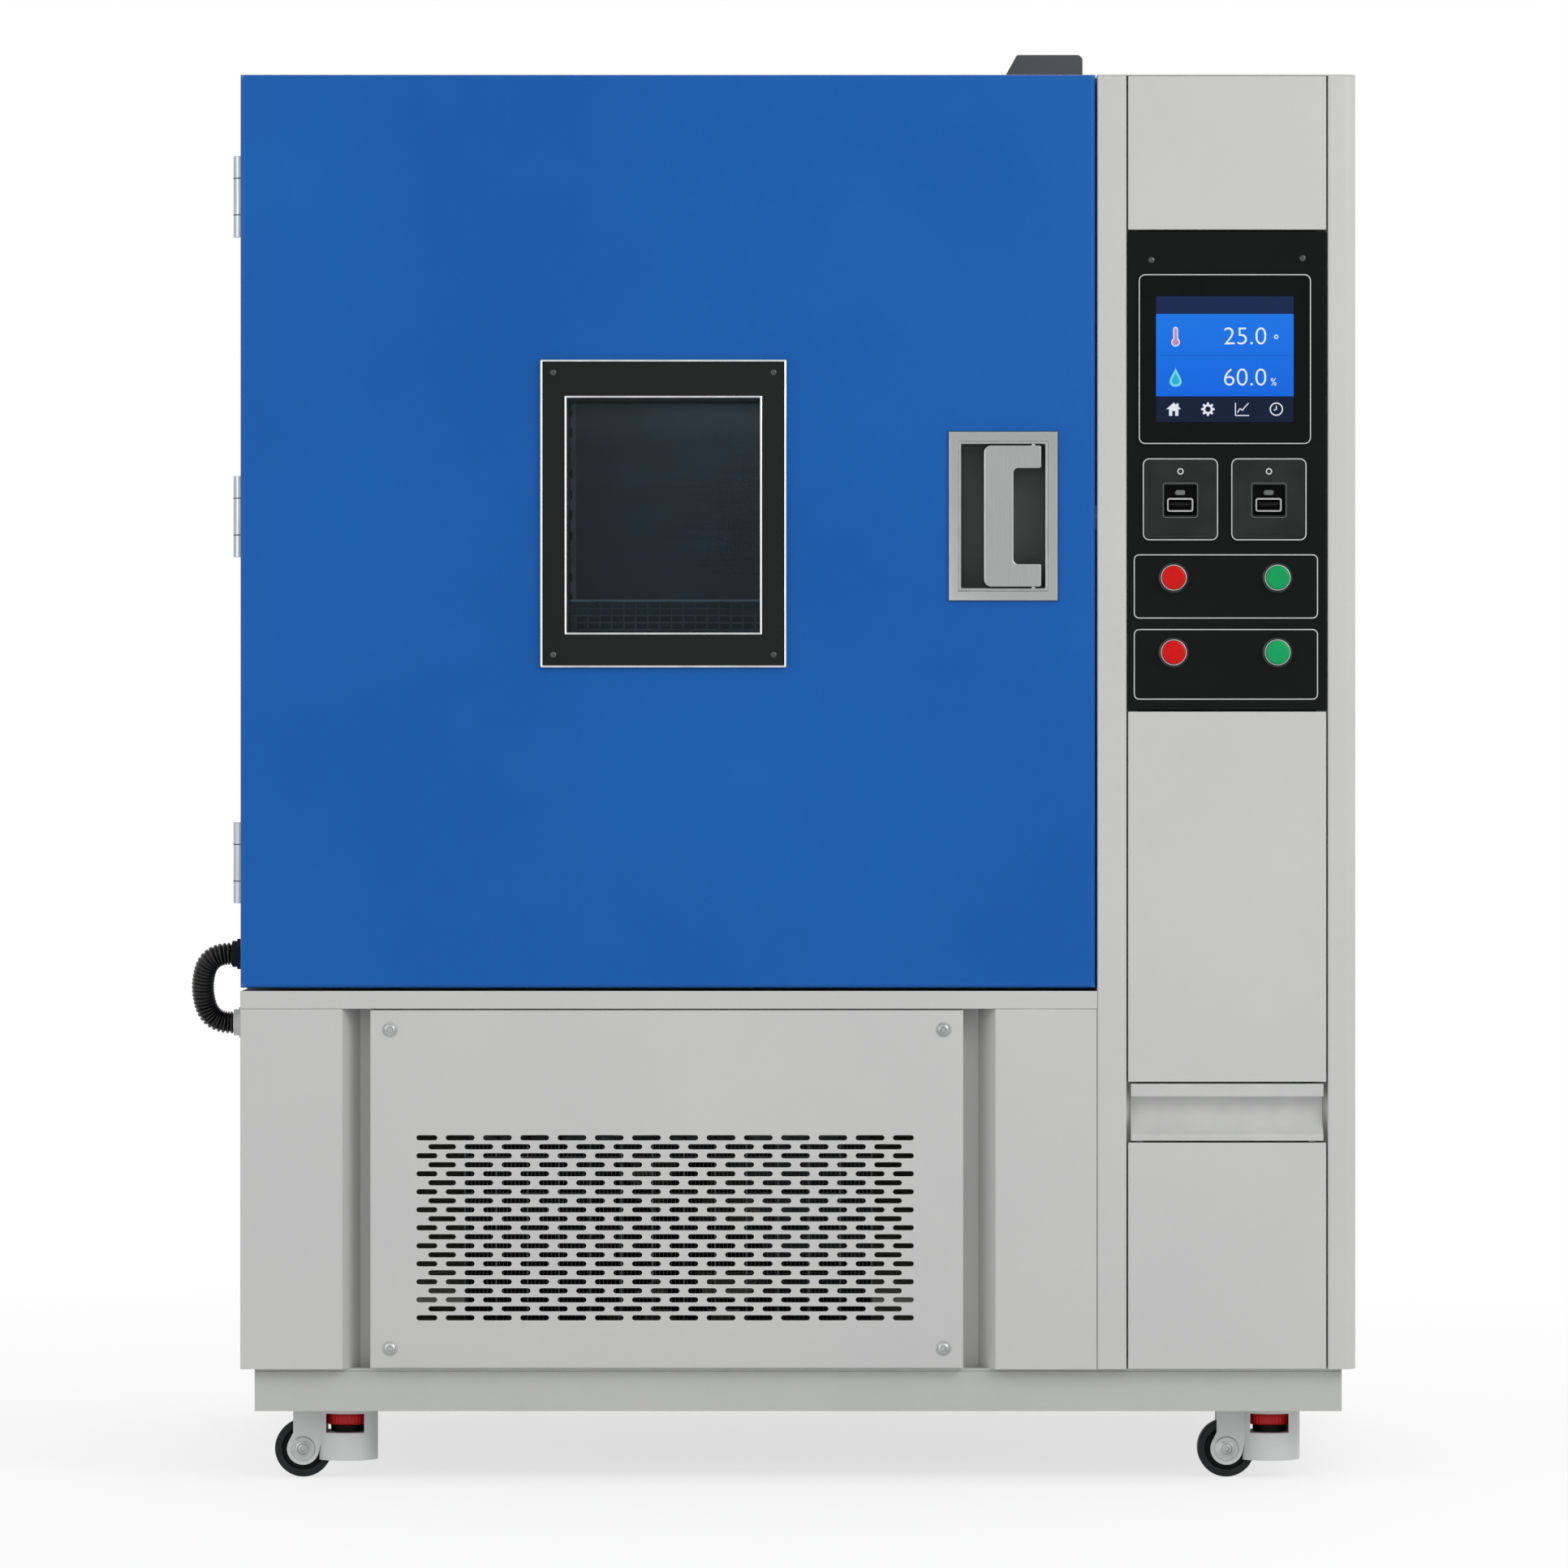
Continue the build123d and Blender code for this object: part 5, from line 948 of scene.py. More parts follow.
# %% [markdown]
# ## Louvres
# Each slot of the rear sheet is a louvre: the strip above it is pressed inwards and hangs over the
# opening, so air passes and the eye doesn't.
# %% Louvre lips
VENT_W, VENT_H, VENT_PITCH, VENT_ROWS = 120 * MM, 7 * MM, 16 * MM, 9
VENT_MIDDLE, VENT_SPREAD, LIP_OUT, LIP_T = 162 * MM, 240 * MM, 9 * MM, 0.8 * MM
LIP_SKIN = 0.3 * MM  # how deep a lip's upper edge lies in the sheet
rear_low, rear_high = ends(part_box("rear_panel"))
lip_top, lip_foot = VENT_H / 2 + 1 * MM, -VENT_H / 2 - 3 * MM
lip_ring = [(-LIP_SKIN, lip_top), (-LIP_OUT, lip_foot), (-LIP_OUT - LIP_T, lip_foot),
            (-LIP_SKIN - LIP_T, lip_top)]
one_lip = skin(np.array([[(x, rear_high[1] + y, z) for y, z in lip_ring]
                         for x in about(0, VENT_W / 2 + 1 * MM)]))
lip_zs = rear_low[2] + VENT_MIDDLE + (np.arange(VENT_ROWS) - (VENT_ROWS - 1) / 2) * VENT_PITCH
lip_places = [(x, 0, z) for x in (-VENT_SPREAD, 0, VENT_SPREAD) for z in lip_zs]
link("louvre_lips", *repeated(one_lip, lip_places), "cabinet", "body_grey", smooth=False)
print(len(lip_places), "louvres up to z", round(float(lip_zs[-1]), 3))

# %% [markdown]
# ## Hinges
# The knuckles of a hinge are separate rolls of one tube, so dark gaps ring it between them. Each
# gap is a thin dark ring of painted shade that stands a hair proud of the knuckle, where the real
# one is open and in shadow.
# %% Hinge gaps
KNUCKLE_R, KNUCKLE_L, GAP = 7 * MM, 41.3 * MM, 1.1 * MM
HINGE_Y, HINGE_UPS = -0.431, mm(138.1, 526.8, 886.2)  # the pins' depth and heights on the door
hinge_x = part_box("hinge_cabinet_leaves")[0][0] + KNUCKLE_R
hinge_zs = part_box("door_panel")[0][2] + HINGE_UPS
gap = spin(band(KNUCKLE_R - 1 * MM, KNUCKLE_R + 0.1 * MM, *about(0, GAP / 2)),
           (hinge_x, HINGE_Y, 0), "z", 40, closed=True)
gap_zs = [z + side * KNUCKLE_L / 2 for z in hinge_zs for side in (-1, 1)]
# Painted shade: dark rings where the open gaps between the knuckles lie in shadow.
link("hinge_gap_shade", *repeated(gap, along_axis(2, gap_zs)), "cabinet", "seal")
print("hinges at", np.round(hinge_zs, 3), "x", round(float(hinge_x), 4))

# %% [markdown]
# ## Softer edges on folded sheet
# Folded and cast parts never have knife edges. Welding the CAD triangles, dissolving the flat
# ones and bevelling what is left gives every edge a small round that catches light, and leaves
# the CAD mesh itself as it is.
# %% Bevels on the carried-over parts
def soften(node, width, segments=2, angle=32):
    """Adds weld, planar dissolve and bevel modifiers and smooth shading to a CAD node."""
    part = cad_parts[node]
    mesh = part.data
    if "custom_normal" in mesh.attributes:
        mesh.attributes.remove(mesh.attributes["custom_normal"])
    mesh.polygons.foreach_set("use_smooth", np.ones(len(mesh.polygons), bool))
    weld = part.modifiers.new("weld", "WELD")
    weld.merge_threshold = 1e-5
    dissolve = part.modifiers.new("dissolve", "DECIMATE")
    dissolve.decimate_type = "DISSOLVE"
    dissolve.angle_limit = np.radians(0.6)
    bevel = part.modifiers.new("bevel", "BEVEL")
    bevel.width = width
    bevel.segments = segments
    bevel.limit_method = "ANGLE"
    bevel.angle_limit = np.radians(angle)
    bevel.use_clamp_overlap = True
    bevel.harden_normals = True


SHEET_EDGES = {"column_panels": 1.2, "lower_covers": 1.2, "sill_rail": 1.0, "base_frame": 1.5,
               "outer_shell": 0.6, "column_post": 0.6, "right_side_panel": 0.6, "rear_panel": 0.4,
               "water_drawer": 0.8, "vent_cap": 1.5, "hinge_cabinet_leaves": 0.7,
               "hinge_door_leaves": 0.7, "control_panel": 0.5, "touchscreen": 0.6,
               "port_modules": 0.5, "door_panel": 0.5, "air_baffle": 0.4, "door_gland": 0.6,
               "compressor": 1.0, "condenser": 0.3}
for node, width in SHEET_EDGES.items():
    soften(node, width * MM)
for place in PLACES:
    soften(f"caster_housing_{place}", 1.2 * MM, 3)
    soften(f"levelling_foot_{place}", 0.8 * MM)
print(len(SHEET_EDGES) + 2 * len(PLACES), "parts softened")

# %% [markdown]
# ## Finishes
# Each finish is a Principled shader fed by a group. The groups hold what varies over a surface:
# powder coat has a leathery grain and faint patches, brushed metal is drawn out in one direction,
# moulded plastic has a fine grain. Constants sit on the shader itself. Painted edge light, a colour
# laid along edges as a painted highlight on most finishes and darker on hinges and bolts, comes
# from how far the Bevel node's normal leans from the true one, and dust from faces that look up.
# %% Node helpers
def srgb(*levels):
    """A linear colour from levels of 0 to 255 as a screen shows them."""
    share = np.array(levels, float) / 255
    linear = np.where(share <= 0.04045, share / 12.92, ((share + 0.055) / 1.055) ** 2.4)
    return (*linear.tolist(), 1.0)


def add(tree, kind, inputs=None, **settings):
    """A node with its settings; an input given as a socket is linked, otherwise it is a value."""
    made = tree.nodes.new("ShaderNode" + kind)
    for key, value in settings.items():
        setattr(made, key, value)
    for name, value in (inputs or {}).items():
        socket = made.inputs[name]
        if isinstance(value, bpy.types.NodeSocket):
            tree.links.new(value, socket)
        else:
            socket.default_value = value
    return made


def mix(tree, share, first, second):
    """A colour between two colours."""
    made = add(tree, "Mix", data_type="RGBA")
    for index, value in ((0, share), (6, first), (7, second)):
        socket = made.inputs[index]
        if isinstance(value, bpy.types.NodeSocket):
            tree.links.new(value, socket)
        else:
            socket.default_value = value
    return made.outputs[2]


def noise(tree, place, scale, detail, roughness=0.5):
    """The grey value of a noise texture."""
    return add(tree, "TexNoise", {"Vector": place, "Scale": scale, "Detail": detail,
                                  "Roughness": roughness}).outputs["Fac"]


def object_place(tree):
    """The place on the surface in the object's own coordinates, which are the frame's."""
    return add(tree, "TexCoord").outputs["Object"]


def watched(tree):
    """1 for rays from the camera, mirrors and glass, 0 for the light that falls on a surface."""
    rays = add(tree, "LightPath").outputs
    direct = maths(tree, "MAXIMUM", rays["Is Camera Ray"], rays["Is Glossy Ray"])
    return maths(tree, "MAXIMUM", direct, rays["Is Transmission Ray"])


def new_material(name):
    """A material with its tree and its shader."""
    material = bpy.data.materials.new(name)
    material.use_nodes = True
    tree = material.node_tree
    return material, tree, tree.nodes["Principled BSDF"]


def maths(tree, operation, first, second=0.0, clamp=False):
    """One Math node on sockets or numbers."""
    made = add(tree, "Math", operation=operation, use_clamp=clamp)
    for index, value in enumerate((first, second)):
        if isinstance(value, bpy.types.NodeSocket):
            tree.links.new(value, made.inputs[index])
        else:
            made.inputs[index].default_value = value
    return made.outputs[0]


def spread(tree, value, low, high, to_low=0.0, to_high=1.0):
    """A value mapped from one range to another and held inside it."""
    return add(tree, "MapRange", {"Value": value, "From Min": low, "From Max": high,
                                  "To Min": to_low, "To Max": to_high}).outputs["Result"]


def new_group(name, inputs, outputs):
    """An empty shader group with named sockets; returns it with its input and output nodes."""
    group = bpy.data.node_groups.new(name, "ShaderNodeTree")
    kinds = {"Color": "NodeSocketColor"}
    for direction, sockets in (("INPUT", inputs), ("OUTPUT", outputs)):
        for socket in sockets:
            kind = kinds.get(socket.split()[-1], "NodeSocketFloat")
            group.interface.new_socket(socket, in_out=direction, socket_type=kind)
    return group, group.nodes.new("NodeGroupInput"), group.nodes.new("NodeGroupOutput")


def hand_out(group, end, **values):
    """Links values to the group's outputs, whose names have spaces for underscores."""
    for name, value in values.items():
        group.links.new(value, end.inputs[name.replace("_", " ")])


print("node helpers ready")

# %% Powder coat
def powder_coat_group():
    """Grain from cells and noise, slow patches between two colours, and varying roughness."""
    group, start, end = new_group("powder_coat",
                                  ("Paint Color", "Patch Color", "Grain", "Gloss"),
                                  ("Base Color", "Roughness", "Height"))
    place = object_place(group)
    cells = add(group, "TexVoronoi", {"Vector": place, "Scale": start.outputs["Grain"],
                                      "Smoothness": 1.0}, feature="SMOOTH_F1").outputs["Distance"]
    fine = noise(group, place, start.outputs["Grain"], 3.0, 0.6)
    height = maths(group, "ADD", maths(group, "MULTIPLY", cells, 0.8),
                   maths(group, "MULTIPLY", fine, 0.6))
    slow = noise(group, place, 2.6, 5.0, 0.6)
    patch_share = spread(group, slow, 0.3, 0.75, 0.0, 0.8)
    colour = mix(group, patch_share, start.outputs["Paint Color"], start.outputs["Patch Color"])
    speck = spread(group, height, 0.35, 0.9, 0.0, 0.22)
    colour = mix(group, speck, colour, start.outputs["Patch Color"])
    rough = maths(group, "ADD", start.outputs["Gloss"], spread(group, fine, 0.3, 0.7, -0.05, 0.07))
    rough = maths(group, "ADD", rough, spread(group, slow, 0.3, 0.7, -0.03, 0.04), clamp=True)
    hand_out(group, end, Base_Color=colour, Roughness=rough, Height=height)
    return group


# %% Brushed metal
def brushed_group():
    """Noise drawn out along one axis by its scale gives streaks for colour, height and gloss."""
    group, start, end = new_group("brushed", ("Metal Color", "Streak Color", "Across X", "Across Y",
                                              "Across Z", "Gloss"),
                                  ("Base Color", "Roughness", "Height"))
    place = object_place(group)
    stretch = add(group, "CombineXYZ", {"X": start.outputs["Across X"],
                                        "Y": start.outputs["Across Y"],
                                        "Z": start.outputs["Across Z"]}).outputs[0]
    drawn = add(group, "VectorMath", {0: place, 1: stretch}, operation="MULTIPLY").outputs[0]
    streak = noise(group, drawn, 1.0, 4.0, 0.65)
    smear = noise(group, place, 9.0, 4.0)
    colour = mix(group, spread(group, streak, 0.3, 0.7), start.outputs["Metal Color"],
                 start.outputs["Streak Color"])
    rough = maths(group, "ADD", start.outputs["Gloss"],
                  spread(group, streak, 0.3, 0.7, -0.06, 0.08))
    rough = maths(group, "ADD", rough, spread(group, smear, 0.4, 0.7, -0.02, 0.07), clamp=True)
    hand_out(group, end, Base_Color=colour, Roughness=rough, Height=streak)
    return group


# %% Moulded plastic
def moulded_group():
    """A fine even grain with slow smears of gloss and a faint second colour."""
    group, start, end = new_group("moulded", ("Main Color", "Second Color", "Grain", "Gloss"),
                                  ("Base Color", "Roughness", "Height"))
    place = object_place(group)
    grain = noise(group, place, start.outputs["Grain"], 2.0)
    smear = noise(group, place, 24.0, 4.0)
    colour = mix(group, spread(group, smear, 0.35, 0.7, 0.0, 0.8), start.outputs["Main Color"],
                 start.outputs["Second Color"])
    rough = maths(group, "ADD", start.outputs["Gloss"], spread(group, smear, 0.3, 0.7, -0.05, 0.09),
                  clamp=True)
    hand_out(group, end, Base_Color=colour, Roughness=rough, Height=grain)
    return group


# %% Edges and dust
# Painted edge light: lays a colour along edges, lighter as a painted highlight on most finishes,
# darker on hinges and bolts.
def painted_edge_light_group():
    """1 where a rounded normal leans away from the true one, broken up by noise."""
    group, start, end = new_group("painted_edge_light", ("Reach", "Amount"), ("Mask",))
    place = object_place(group)
    rounded = add(group, "Bevel", {"Radius": start.outputs["Reach"]}, samples=4).outputs[0]
    true = add(group, "NewGeometry").outputs["Normal"]
    lean = add(group, "VectorMath", {0: rounded, 1: true}, operation="DOT_PRODUCT").outputs["Value"]
    edge = spread(group, maths(group, "SUBTRACT", 1.0, lean), 0.02, 0.25)
    broken = noise(group, place, 60.0, 4.0)
    mask = maths(group, "MULTIPLY", edge, spread(group, broken, 0.35, 0.62, 0.25, 1.0))
    hand_out(group, end, Mask=maths(group, "MULTIPLY", mask, start.outputs["Amount"], clamp=True))
    return group


def dust_group():
    """Dust lies where a face looks up and where slow noise lets it."""
    group, start, end = new_group("dust", ("Amount",), ("Mask",))
    place = object_place(group)
    up = add(group, "SeparateXYZ", {0: add(group, "NewGeometry").outputs["Normal"]}).outputs["Z"]
    cloud = noise(group, place, 14.0, 6.0, 0.65)
    lying = maths(group, "MULTIPLY", spread(group, up, 0.3, 0.95), spread(group, cloud, 0.35, 0.7))
    hand_out(group, end, Mask=maths(group, "MULTIPLY", lying, start.outputs["Amount"], clamp=True))
    return group


GROUPS = {"powder_coat": powder_coat_group(), "brushed": brushed_group(),
          "moulded": moulded_group(), "painted_edge_light": painted_edge_light_group(), "dust": dust_group()}
DUST_COLOUR = srgb(172, 168, 160)
print("groups", sorted(GROUPS))

# %% [markdown]
# A finish is made from its group's values, the shader's constants, and how much painted edge light
# and dust it takes. The bump's distance is the real depth of the grain.
# %% Making a finish
def use_group(tree, name, values):
    """A group node with its inputs set."""
    made = add(tree, "Group", node_tree=GROUPS[name])
    for key, value in values.items():
        made.inputs[key].default_value = value
    return made.outputs


def finish(name, effect, values, mirror=None, shader=None, edge=None, dust=0.0, depth=0.05,
           bump=0.5):
    """A material: effect group, then edge and dust mixed in, a bump and the shader's constants.

    edge is the painted edge colour, a highlight on most finishes and darker on hinges and bolts, as
    (colour, reach in millimetres, amount), depth is in millimetres, and mirror says how much the
    finish mirrors: 0.5 is plain plastic. Returns the name and the material.
    """
    material, tree, principled = new_material(name)
    made = use_group(tree, effect, values)
    colour = made["Base Color"]
    # Painted edge light: the edge colour is painted along edges as a highlight.
    if edge:
        edge_light_mask = use_group(tree, "painted_edge_light", {"Reach": edge[1] * MM, "Amount": edge[2]})["Mask"]
        colour = mix(tree, edge_light_mask, colour, srgb(*edge[0]))
    if dust:
        lying = use_group(tree, "dust", {"Amount": dust})["Mask"]
        colour = mix(tree, lying, colour, DUST_COLOUR)
    relief = add(tree, "Bump", {"Height": made["Height"], "Strength": bump,
                                  "Distance": depth * MM})
    tree.links.new(colour, principled.inputs["Base Color"])
    tree.links.new(made["Roughness"], principled.inputs["Roughness"])
    tree.links.new(relief.outputs["Normal"], principled.inputs["Normal"])
    if mirror is not None:
        principled.inputs["Specular IOR Level"].default_value = mirror
    for key, value in (shader or {}).items():
        principled.inputs[key].default_value = value
    return name, material


def coat(name, paint, patch_colour, grain=900.0, gloss=0.45, **more):
    """A powder coat finish from two screen colours."""
    values = {"Paint Color": srgb(*paint), "Patch Color": srgb(*patch_colour), "Grain": grain,
              "Gloss": gloss}
    return finish(name, "powder_coat", values, **more)


def metal(name, main, streak, across, gloss, **more):
    """A brushed metal finish; across is how much finer the noise is along each axis."""
    values = {"Metal Color": srgb(*main), "Streak Color": srgb(*streak), "Gloss": gloss,
              "Across X": across[0], "Across Y": across[1], "Across Z": across[2]}
    return finish(name, "brushed", values, shader={"Metallic": 1.0}, **more)


def plastic(name, main, second, grain=1400.0, gloss=0.4, **more):
    """A moulded plastic finish."""
    values = {"Main Color": srgb(*main), "Second Color": srgb(*second), "Grain": grain,
              "Gloss": gloss}
    return finish(name, "moulded", values, **more)


LACQUER = {"Coat Weight": 0.04, "Coat Roughness": 0.08}
# Each edge= colour is painted edge light: the lighter ones are painted highlights along edges, and
# the ones on hinge_silver and bolt_grey make edges darker.
FINISHES = dict([
    coat("door_blue", (8, 82, 160), (22, 96, 174), 620.0, 0.36, depth=0.2, bump=0.6,
         edge=((110, 162, 216), 5, 0.9), mirror=0.16),
    coat("body_grey", (198, 198, 196), (188, 189, 188), 900.0, 0.42, depth=0.08,
         edge=((228, 228, 226), 1.4, 0.6), mirror=0.3),
    coat("base_grey", (190, 191, 188), (178, 180, 177), 900.0, 0.46, depth=0.08,
         edge=((214, 214, 211), 1.6, 0.6), dust=0.2, mirror=0.3),
    coat("black_panel", (13, 15, 15), (20, 22, 22), 1200.0, 0.36, depth=0.05,
         edge=((70, 70, 72), 0.8, 0.5), mirror=0.07),
    coat("black_frame", (27, 29, 28), (35, 37, 36), 900.0, 0.38, depth=0.05,
         edge=((92, 92, 90), 0.8, 0.5), mirror=0.08),
    plastic("screen_black", (9, 11, 10), (14, 16, 15), gloss=0.16, bump=0.1, mirror=0.07),
    coat("dark_cap", (72, 73, 75), (88, 89, 91), 900.0, 0.5, depth=0.08,
         edge=((136, 136, 138), 1.6, 0.7), dust=0.25, mirror=0.2),
    metal("screw_dark", (92, 93, 94), (70, 71, 72), (60.0, 60.0, 60.0), 0.32, depth=0.01,
          bump=0.2),
    plastic("dark_plastic", (36, 37, 37), (46, 47, 47), gloss=0.42, edge=((92, 93, 94), 0.7, 0.6),
            mirror=0.08),
    plastic("red_cap", (196, 10, 8), (206, 22, 16), gloss=0.24, bump=0.1, shader=LACQUER,
            mirror=0.12),
    plastic("green_cap", (8, 148, 82), (18, 162, 94), gloss=0.24, bump=0.1, shader=LACQUER,
            mirror=0.12),
    metal("trim_chrome", (222, 222, 222), (196, 197, 198), (40.0, 40.0, 40.0), 0.22, depth=0.01,
          bump=0.2),
    metal("collar_dark", (66, 70, 72), (50, 53, 55), (90.0, 90.0, 90.0), 0.26, depth=0.01,
          bump=0.2, edge=((150, 152, 154), 0.8, 0.7)),
    metal("handle_silver", (170, 172, 171), (160, 162, 162), (1500.0, 1500.0, 30.0), 0.34,
          depth=0.01, bump=0.2, edge=((226, 228, 227), 2.0, 0.9)),
    # The handle well's darker grey is painted shade for the pan's recess.
    coat("well_shade", (84, 88, 86), (98, 102, 100), 900.0, 0.36, depth=0.04, mirror=0.15),
    metal("hinge_silver", (192, 194, 196), (158, 161, 164), (700.0, 700.0, 12.0), 0.3, depth=0.02,
          bump=0.3, edge=((92, 94, 98), 1.4, 0.9)),
    metal("stainless", (150, 153, 155), (130, 134, 136), (6.0, 700.0, 700.0), 0.38, depth=0.01,
          bump=0.12),
    metal("fins", (104, 106, 108), (84, 86, 88), (60.0, 400.0, 6.0), 0.34, depth=0.02, bump=0.25),
    plastic("foam", (226, 214, 176), (206, 192, 150), 500.0, 0.85, depth=0.3),
    # Black rubber for seals, nuts and webs; in the hinge gaps and upright slots the same black is
    # painted shade.
    plastic("seal", (16, 16, 17), (24, 24, 25), 900.0, 0.6, mirror=0.12),
    plastic("hose_black", (10, 10, 11), (20, 20, 21), 700.0, 0.3, dust=0.12, mirror=0.4),
    coat("motor", (44, 45, 48), (58, 59, 62), 900.0, 0.5, depth=0.1, dust=0.3, mirror=0.2),
    coat("caster_grey", (212, 213, 212), (198, 200, 200), 420.0, 0.42, depth=0.12,
         edge=((224, 225, 225), 1.2, 0.6), dust=0.15, mirror=0.3),
    plastic("wheel", (30, 32, 33), (44, 46, 48), 700.0, 0.44, dust=0.12,
            edge=((92, 94, 96), 1.2, 0.6), mirror=0.16),
    plastic("thumb_red", (196, 14, 16), (176, 12, 14), 900.0, 0.34,
            edge=((232, 84, 78), 1.0, 0.6), mirror=0.3),
    plastic("foot_rubber", (46, 46, 47), (60, 60, 60), 900.0, 0.66, mirror=0.2),
    plastic("water_tray", (194, 195, 193), (184, 185, 184), 1100.0, 0.4,
            edge=((224, 224, 223), 1.2, 0.5), mirror=0.3),
    metal("bolt_grey", (190, 191, 190), (160, 162, 162), (60.0, 60.0, 60.0), 0.36, depth=0.01,
          bump=0.2, edge=((120, 121, 121), 0.5, 0.5)),
    # Light matte zinc: partly the plating's own colour, partly a painted sheen where the shelf
    # steel catches light.
    coat("zinc_and_sheen", (214, 219, 222), (196, 201, 205), 1400.0, 0.34, depth=0.03, mirror=0.5),
    # White for printed lines and port shells; on the upright clips it is a painted highlight.
    plastic("line_white_and_glint", (200, 201, 200), (182, 183, 182), 900.0, 0.4, mirror=0.2),
    plastic("line_grey", (112, 114, 114), (92, 94, 94), 900.0, 0.4, mirror=0.2),
])
print(len(FINISHES), "finishes")

# %% [markdown]
# The display gives off light: its fields take an emission colour with a faint vertical change and
# a fine raster. Glass keeps plain transmission, and only its roughness varies.
# %% Display and glass
def display_finish(name, upper, lower):
    """A lit field whose colour changes from upper to lower over its height, with a fine raster."""
    material, tree, principled = new_material(name)
    place = object_place(tree)
    z = add(tree, "SeparateXYZ", {0: place}).outputs["Z"]
    share = spread(tree, z, float(display_z[0]), float(display_z[1]))
    raster = noise(tree, place, 1600.0, 1.0)
    colour = mix(tree, share, srgb(*lower), srgb(*upper))
    colour = mix(tree, spread(tree, raster, 0.3, 0.7, 0.0, 0.06), colour, (0.0, 0.0, 0.0, 1.0))
    tree.links.new(colour, principled.inputs["Emission Color"])
    principled.inputs["Emission Strength"].default_value = 1.0
    principled.inputs["Base Color"].default_value = srgb(4, 6, 10)
    principled.inputs["Specular IOR Level"].default_value = 0.1
    smear = noise(tree, place, 30.0, 4.0)
    tree.links.new(spread(tree, smear, 0.3, 0.7, 0.08, 0.2), principled.inputs["Roughness"])
    return material


def glass_finish():
    """Clear glass, a little grey, with faint smears in its roughness."""
    material, tree, principled = new_material("window_glass")
    smear = noise(tree, object_place(tree), 12.0, 5.0)
    tree.links.new(spread(tree, smear, 0.4, 0.75, 0.0, 0.05), principled.inputs["Roughness"])
    principled.inputs["Base Color"].default_value = srgb(206, 217, 222)
    principled.inputs["Transmission Weight"].default_value = 1.0
    principled.inputs["IOR"].default_value = 1.14
    return material


DISPLAY_COLOURS = {
    "display_header": ((16, 36, 76), (10, 26, 58)),
    "display_field": ((24, 120, 232), (4, 96, 220)),
    "display_bar": ((14, 30, 62), (10, 24, 50)),
    "display_white": ((238, 242, 248), (226, 232, 242)),
    "display_line": ((10, 92, 196), (10, 92, 196)),
    "display_pink": ((206, 150, 190), (170, 110, 170)),
    "display_cyan": ((150, 226, 236), (96, 206, 224)),
    "display_teal": ((52, 190, 220), (36, 168, 206)),
}
for name, colours in DISPLAY_COLOURS.items():
    FINISHES[name] = display_finish(name, *colours)
FINISHES["glass"] = glass_finish()
print(len(FINISHES), "finishes in all")

# %% [markdown]
# Every piece and every CAD node takes one finish. CAD nodes that share a body colour are listed
# by finish; the new pieces follow by name.
# %% Giving out the finishes
def each(pattern):
    """A name for each caster, with its place in the braces."""
    return tuple(pattern.format(place) for place in PLACES)


NODE_FINISH = {
    "door_blue": ("door_panel",),
    "body_grey": ("outer_shell", "right_side_panel", "rear_panel", "column_post", "column_panels",
                  "lower_covers", "sill_rail", "grille_panel"),
    "base_grey": ("base_frame",),
    "black_panel": ("control_panel",),
    "black_frame": ("window_frame",),
    "dark_cap": ("vent_cap",),
    "screen_black": ("touchscreen",),
    "dark_plastic": ("port_modules",),
    "red_cap": ("power_button", "alarm_button"),
    "green_cap": ("run_button", "light_button"),
    "collar_dark": ("button_collars",),
    "trim_chrome": ("latch_bolt",),
    "handle_silver": ("handle_pan", "handle_grip"),
    "hinge_silver": ("hinge_cabinet_leaves", "hinge_door_leaves", "drawer_runners"),
    "stainless": ("inner_liner", "door_liner", "air_baffle", "circulation_fan"),
    "zinc_and_sheen": ("shelf_rails", "wire_shelves"),
    "fins": ("condenser", "plenum_coils"),
    "foam": ("insulation", "door_core"),
    "seal": ("door_gasket", "door_gland"),
    "hose_black": ("hose",),
    "motor": ("fan_motors", "compressor", "condenser_fan"),
    "water_tray": ("water_drawer",),
    "glass": ("window_glass",),
    "caster_grey": each("caster_housing_{}"),
    "wheel": each("caster_wheel_{}"),
    "thumb_red": each("thumbwheel_{}"),
    "foot_rubber": each("levelling_foot_{}"),
}
PIECE_FINISH = {
    "body_grey": ("grille_sheet", "louvre_lips"),
    "bolt_grey": ("grille_screws", "grille_washers", *each("caster_{}_bolts")),
    "trim_chrome": ("window_trim", "window_bead", "grip_studs", "button_lips"),
    "black_frame": ("window_border",),
    "screw_dark": ("window_screws", "panel_screws"),
    "handle_silver": ("handle_rim", "grip_bar"),
    "well_shade": ("handle_well",),
    "line_white_and_glint": ("screen_line", "port_lines", "port_marks", "port_shells", "button_box_lines",
                   "upright_clips"),
    "display_header": ("display_header",),
    "display_field": ("display_field",),
    "display_bar": ("display_bar",),
    "display_line": ("display_divider",),
    "display_white": ("display_numbers", "display_symbols", "display_thermometer"),
    "display_pink": ("display_mercury",),
    "display_cyan": ("display_drop",),
    "display_teal": ("display_drop_inside",),
    "dark_plastic": ("port_bevels",),
    "seal": ("port_tongues", "hinge_gap_shade", "upright_slot_shadows", *each("thumb_{}_nut"),
             *each("wheel_{}_web")),
    "line_grey": ("port_edges", "port_keys"),
    "collar_dark": ("button_rings",),
    "hose_black": ("hose_rings",),
    "zinc_and_sheen": ("shelf_mesh",),
    "fins": ("condenser_fins",),
    "red_cap": ("power_cap", "alarm_cap"),
    "green_cap": ("run_cap", "light_cap"),
    "wheel": each("wheel_{}_tread"),
    "thumb_red": each("thumb_{}_grip"),
}


